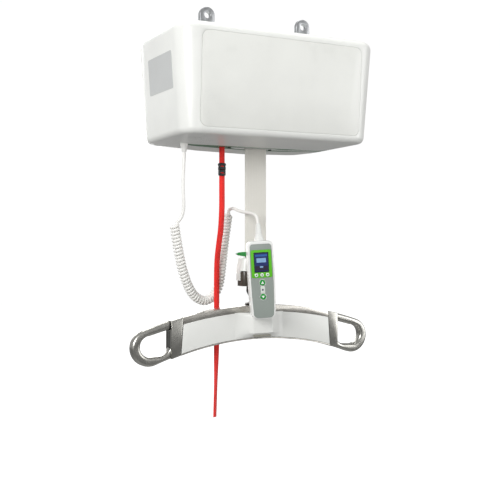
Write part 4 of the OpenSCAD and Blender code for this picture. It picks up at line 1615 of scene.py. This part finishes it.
@dataclass
class SlingBar:
    """The crescent bar with a hook at each end, hung from the swivel stem.

    Attributes:
        level: Height that the bar's own heights count from.
        thick: Thickness.
        top: Height of the top arc at the middle.
        bottom: Height of the bottom arc at the middle.
        top_r: Radius of the top arc.
        bottom_r: Radius of the bottom arc.
        end_r: Radius of the round end.
        face_x: Where the hook's opening starts.
        ring_t: Thickness of the hook's ring.
        slit: Width of the slit beside the latch.
        band: Height of the metal band over the panel.
        lip: Height of the metal lip under the panel.
        seam_x: Half length between the seams, at the top and at the bottom of the drawing.
        proud: How far the panels stand out.
        hub: Half width of the hub's flat, its stand-out and its flow.
        hub_z: Lower and upper end of the hub cover.
    """

    level: float = -644
    thick: float = 31
    top: float = 67
    bottom: float = -1
    top_r: float = 780
    bottom_r: float = 630
    end_r: float = 36.3
    face_x: float = 190.5
    ring_t: float = 21
    slit: float = 2.6
    band: float = 12.5
    lip: float = 2.5
    seam_x: tuple[float, float] = (163, 175)
    proud: float = 0.4
    hub: tuple[float, float, float] = (21.5, 17.4, 34)
    hub_z: tuple[float, float] = (3.6, 53.4)

    @property
    def end(self) -> tuple[float, float]:
        """Centre of the end circle that touches both arcs from inside."""
        high, low = self.top - self.top_r, self.bottom - self.bottom_r
        far, near = self.top_r - self.end_r, self.bottom_r + self.end_r
        z = ((far ** 2 - near ** 2) / (low - high) + high + low) / 2
        return math.sqrt(far ** 2 - (z - high) ** 2), z

    def upper(self, x: float, inset: float = 0) -> float:
        """Height of the top arc at x."""
        return self.top - self.top_r + math.sqrt((self.top_r - inset) ** 2 - x * x)

    def lower(self, x: float, inset: float = 0) -> float:
        """Height of the bottom arc at x."""
        return self.bottom - self.bottom_r + math.sqrt((self.bottom_r + inset) ** 2 - x * x)

    def seam(self, z: float) -> float:
        """Half length of the panel at a height."""
        return self.seam_x[0] + (self.seam_x[1] - self.seam_x[0]) * (80 - z) / 160

    def raise_up(self, piece: bpy.types.Object) -> bpy.types.Object:
        """Moves a piece from the bar's own heights to its place."""
        piece.data.transform(Matrix.Translation(mm(0, 0, self.level)))
        return piece

    def span(self, trim: float) -> Outline:
        """Outline of the stretch between the seams under the band.

        Args:
            trim: Distance that the outline stays inside.

        Returns:
            The outline.
        """
        ends = []
        for curve, inset in ((self.upper, self.band + trim), (self.lower, self.lip + trim)):
            x = self.seam(0)
            for _ in range(4):
                x = self.seam(curve(x, inset)) - trim
            ends.append(x)
        tops = [(ends[0] * (1 - k / 24), self.upper(ends[0] * (1 - k / 24), self.band + trim)) for k in range(49)]
        lows = [(ends[1] * (k / 24 - 1), self.lower(ends[1] * (k / 24 - 1), self.lip + trim)) for k in range(49)]
        return tops + lows

    def beam(self, shop: Workshop) -> None:
        """Makes the metal beam."""
        beam = copy_of("bar_beam", "sling_beam")
        soften(beam, 1.2, 3)
        shop.deliver(beam, "bar", "bar metal", ["bar_beam"])

    def panels(self, shop: Workshop) -> None:
        """Makes the two covers with the dark joint round them."""
        half = self.thick / 2
        for side, node in ((-1, "panel_front"), (1, "panel_rear")):
            outer, inner = side * (half + self.proud), side * (half - 2.4)
            low, high = min(outer, inner), max(outer, inner)
            word = "front" if side < 0 else "rear"
            facing = Facing.FRONT if side < 0 else Facing.BACK
            cover = plate(f"bar_cover_{word}", self.span(0.55), low, high, 0.9, 3, facing)
            shop.deliver(self.raise_up(cover), "bar", "bar cover", [node])
            a, b = sorted((side * (half - 0.5), side * (half - 2.45)))
            joint = plate(f"bar_joint_{word}", self.span(0.05), a, b)
            shop.deliver(self.raise_up(joint), "bar", "dark seam")

    def hub_cover(self, shop: Workshop) -> None:
        """Makes the hub cover, whose sides flow into the front panel, and its grey foot band, an inlay whose dark grey
        is partly painted shade on the downward-facing chamfer.
        """
        half, out, flow = self.hub
        reach = half + flow
        base = -self.thick / 2 - self.proud
        low, high = self.hub_z
        foot = low + 9
        steps = [-reach + 2 * reach * k / 56 for k in range(57)]

        def bulge(x: float) -> float:
            """Share of the full stand-out at x."""
            return 1.0 if abs(x) <= half else (1 - (abs(x) - half) / flow) ** 1.7

        def station(z: float, share: float) -> list[Vector]:
            """The outline of the cover at a height."""
            face = [mm(x, base - 0.15 - out * share * bulge(x), z) for x in steps]
            return face + [mm(x, base + 0.5, z) for x in reversed(steps)]

        cover = loft("hub_cap", [station(z, 0.3 + 0.7 * (z - low) / (foot - low)) for z in (low, low + 3, low + 6)]
                     + [station(foot, 1.0)]
                     + [station(foot + (high - 7.5 - foot) * k / 4, 1.0) for k in range(1, 4)]
                     + [station(high - 7 + 7 * math.sin(math.pi / 14 * k), 0.3 + 0.7 * math.cos(math.pi / 14 * k))
                        for k in range(8)])
        chamfer = (foot - low, 0.7 * out)
        # Grey foot band on the chamfer: partly a real inlay, partly painted shade where the chamfer faces down.
        band = plate("hub_foot", round_box(2 * half - 3, foot - low - 1.2, 1.2, 0, (foot + low) / 2 - 0.1), 0, 1.2, 0.3)
        band.data.transform(
            Matrix.Translation(mm(0, base - 0.15 - out * 0.65 - 0.35, (foot + low) / 2))
            @ Matrix.Rotation(-math.atan2(chamfer[1], chamfer[0]), 4, "X")
            @ Matrix.Translation(mm(0, 0, -(foot + low) / 2))
        )
        shop.deliver(self.raise_up(cover), "bar", "bar cover", ["hub_cover"])
        shop.deliver(self.raise_up(band), "bar", "hub inlay and painted shade")

    def hook(self) -> bpy.types.Object:
        """Models the right-hand hook casting: a block and a rounded ring."""
        end_x, end_z = self.end
        low, high = self.bottom - self.bottom_r, self.top - self.top_r
        start = math.degrees(math.atan2(end_z - high, end_x))
        stop = math.degrees(math.atan2(low - end_z, -end_x))
        root = self.face_x - 16
        meet = end_x + self.end_r * math.cos(math.radians(start))
        under = end_x + self.end_r * math.cos(math.radians(stop))
        outline = ([(root + (meet - root) * k / 8, self.upper(root + (meet - root) * k / 8)) for k in range(8)]
                   + arc(end_x, end_z, self.end_r, start, stop, 40)
                   + [(under + (root - under) * k / 6, self.lower(under + (root - under) * k / 6)) for k in range(1, 7)])
        ring = plate("hook_casting", outline, -self.ring_t / 2, self.ring_t / 2)
        opening = (arc(self.face_x + 21.5, -2.5, 21.5, 180, 270, 14) + arc(231, -4.5, 20.5, -90, 88, 28)
                   + [(self.face_x, 27)])
        combine(ring, plate("opening", opening, -40, 40), Join.CUT)
        soften(ring, 5.9, 6, 35)
        xs = [150 + (self.face_x - 150) * k / 8 for k in range(9)]
        block = plate("block", [(x, self.upper(x)) for x in xs] + [(x, self.lower(x)) for x in reversed(xs)],
                      -self.thick / 2, self.thick / 2)
        combine(block, plate("seam", [(100, 90), (self.seam(90) + 0.35, 90), (self.seam(-90) + 0.35, -90),
                                      (100, -90)], -40, 40), Join.CUT)
        soften(block, 1.6, 3, 35)
        combine(ring, block, Join.ADD)
        combine(ring, box_tool(mm(self.face_x, -40, 18), mm(self.face_x + self.slit, 40, 60)), Join.CUT)
        pocket = [(self.face_x + 1, -23), (self.face_x + 1, 37), (self.face_x - 21, 37),
                  (self.face_x - 21, 22), (self.face_x - 13, -23)]
        combine(ring, plate("pocket", pocket, -8, 8), Join.CUT)
        bore = turned("bore", [(2.1, -12), (2.1, 12)], 32)
        bore.data.transform(Matrix.Translation(mm(self.face_x - 6.5, 0, -17)) @ Matrix.Rotation(math.pi / 2, 4, "X"))
        return combine(ring, bore, Join.CUT)

    def hooks(self, shop: Workshop) -> None:
        """Makes both hooks and their latches."""
        right = self.raise_up(self.hook())
        right.name = "hook_casting_right"
        left = mirrored(right, "hook_casting_left")
        for piece, side in ((right, "right"), (left, "left")):
            face_out(piece)
            shop.deliver(piece, "bar", "hook metal", [f"hook_{side}"], 32)
            flap = copy_of(f"latch_{side}", f"latch_flap_{side}")
            soften(flap, 0.8, 2)
            shop.deliver(flap, f"latch_{side}", "latch", [f"latch_{side}"])

    def stem(self, shop: Workshop) -> None:
        """Makes the swivel stem: head, waisted neck and boss."""
        profile = [(10, -620), (10, -577), (21.4, -577), (22, -576.4), (22, -574.4), (21.4, -573.8), (19, -572.4),
                   (14.5, -571), (12.6, -570), (12, -568), (12, -566), (12.3, -563.5), (13, -561), (14.6, -558),
                   (16, -555), (17.8, -552), (18.8, -549), (18.8, -540), (18.2, -538.6), (13, -538.6), (13, -525),
                   (9, -523), (9, -519), (13, -517), (13, -513), (9, -510.5)]
        shop.deliver(turned("swivel", profile, 64), "bar", "blackened", ["swivel_stem"], 40)

    def build(self, shop: Workshop) -> None:
        """Makes all of the bar."""
        self.beam(shop)
        self.panels(shop)
        self.hub_cover(shop)
        self.hooks(shop)
        self.stem(shop)
        shop.dress("ground steel", "latch_pins")


# ---------- inside ----------


@dataclass
class Inside:
    """The works inside the casing, which keep their CAD shapes."""

    finishes: dict[str, tuple[str, ...]] = field(default_factory=lambda: {
        "sheet steel": ("chassis",),
        "tray": ("battery_tray",),
        "pack": ("battery_packs",),
        "board": ("control_board",),
        "ground steel": ("drum_bearings", "drum_shaft", "pull_rod"),
        "cast": ("gearbox", "drum"),
        "can": ("motor",),
        "black": ("brake", "strap_guide", "pull_switch"),
        "lift webbing": ("strap_wound",),
    })

    def build(self, shop: Workshop) -> None:
        """Paints every piece of the works."""
        for finish, nodes in self.finishes.items():
            shop.dress(finish, *nodes)


def main() -> None:
    """Builds the hoist piece by piece."""
    logging.basicConfig(level=logging.INFO, format="%(name)s: %(message)s")
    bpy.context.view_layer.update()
    shop = Workshop({})
    Stage().build()
    for assembly in (CurlyCord(), PullStrap(), LiftStrap(), Casing(), Bracket(), Handset(), SlingBar(), Inside()):
        assembly.build(shop)


if __name__ == "__main__":
    main()
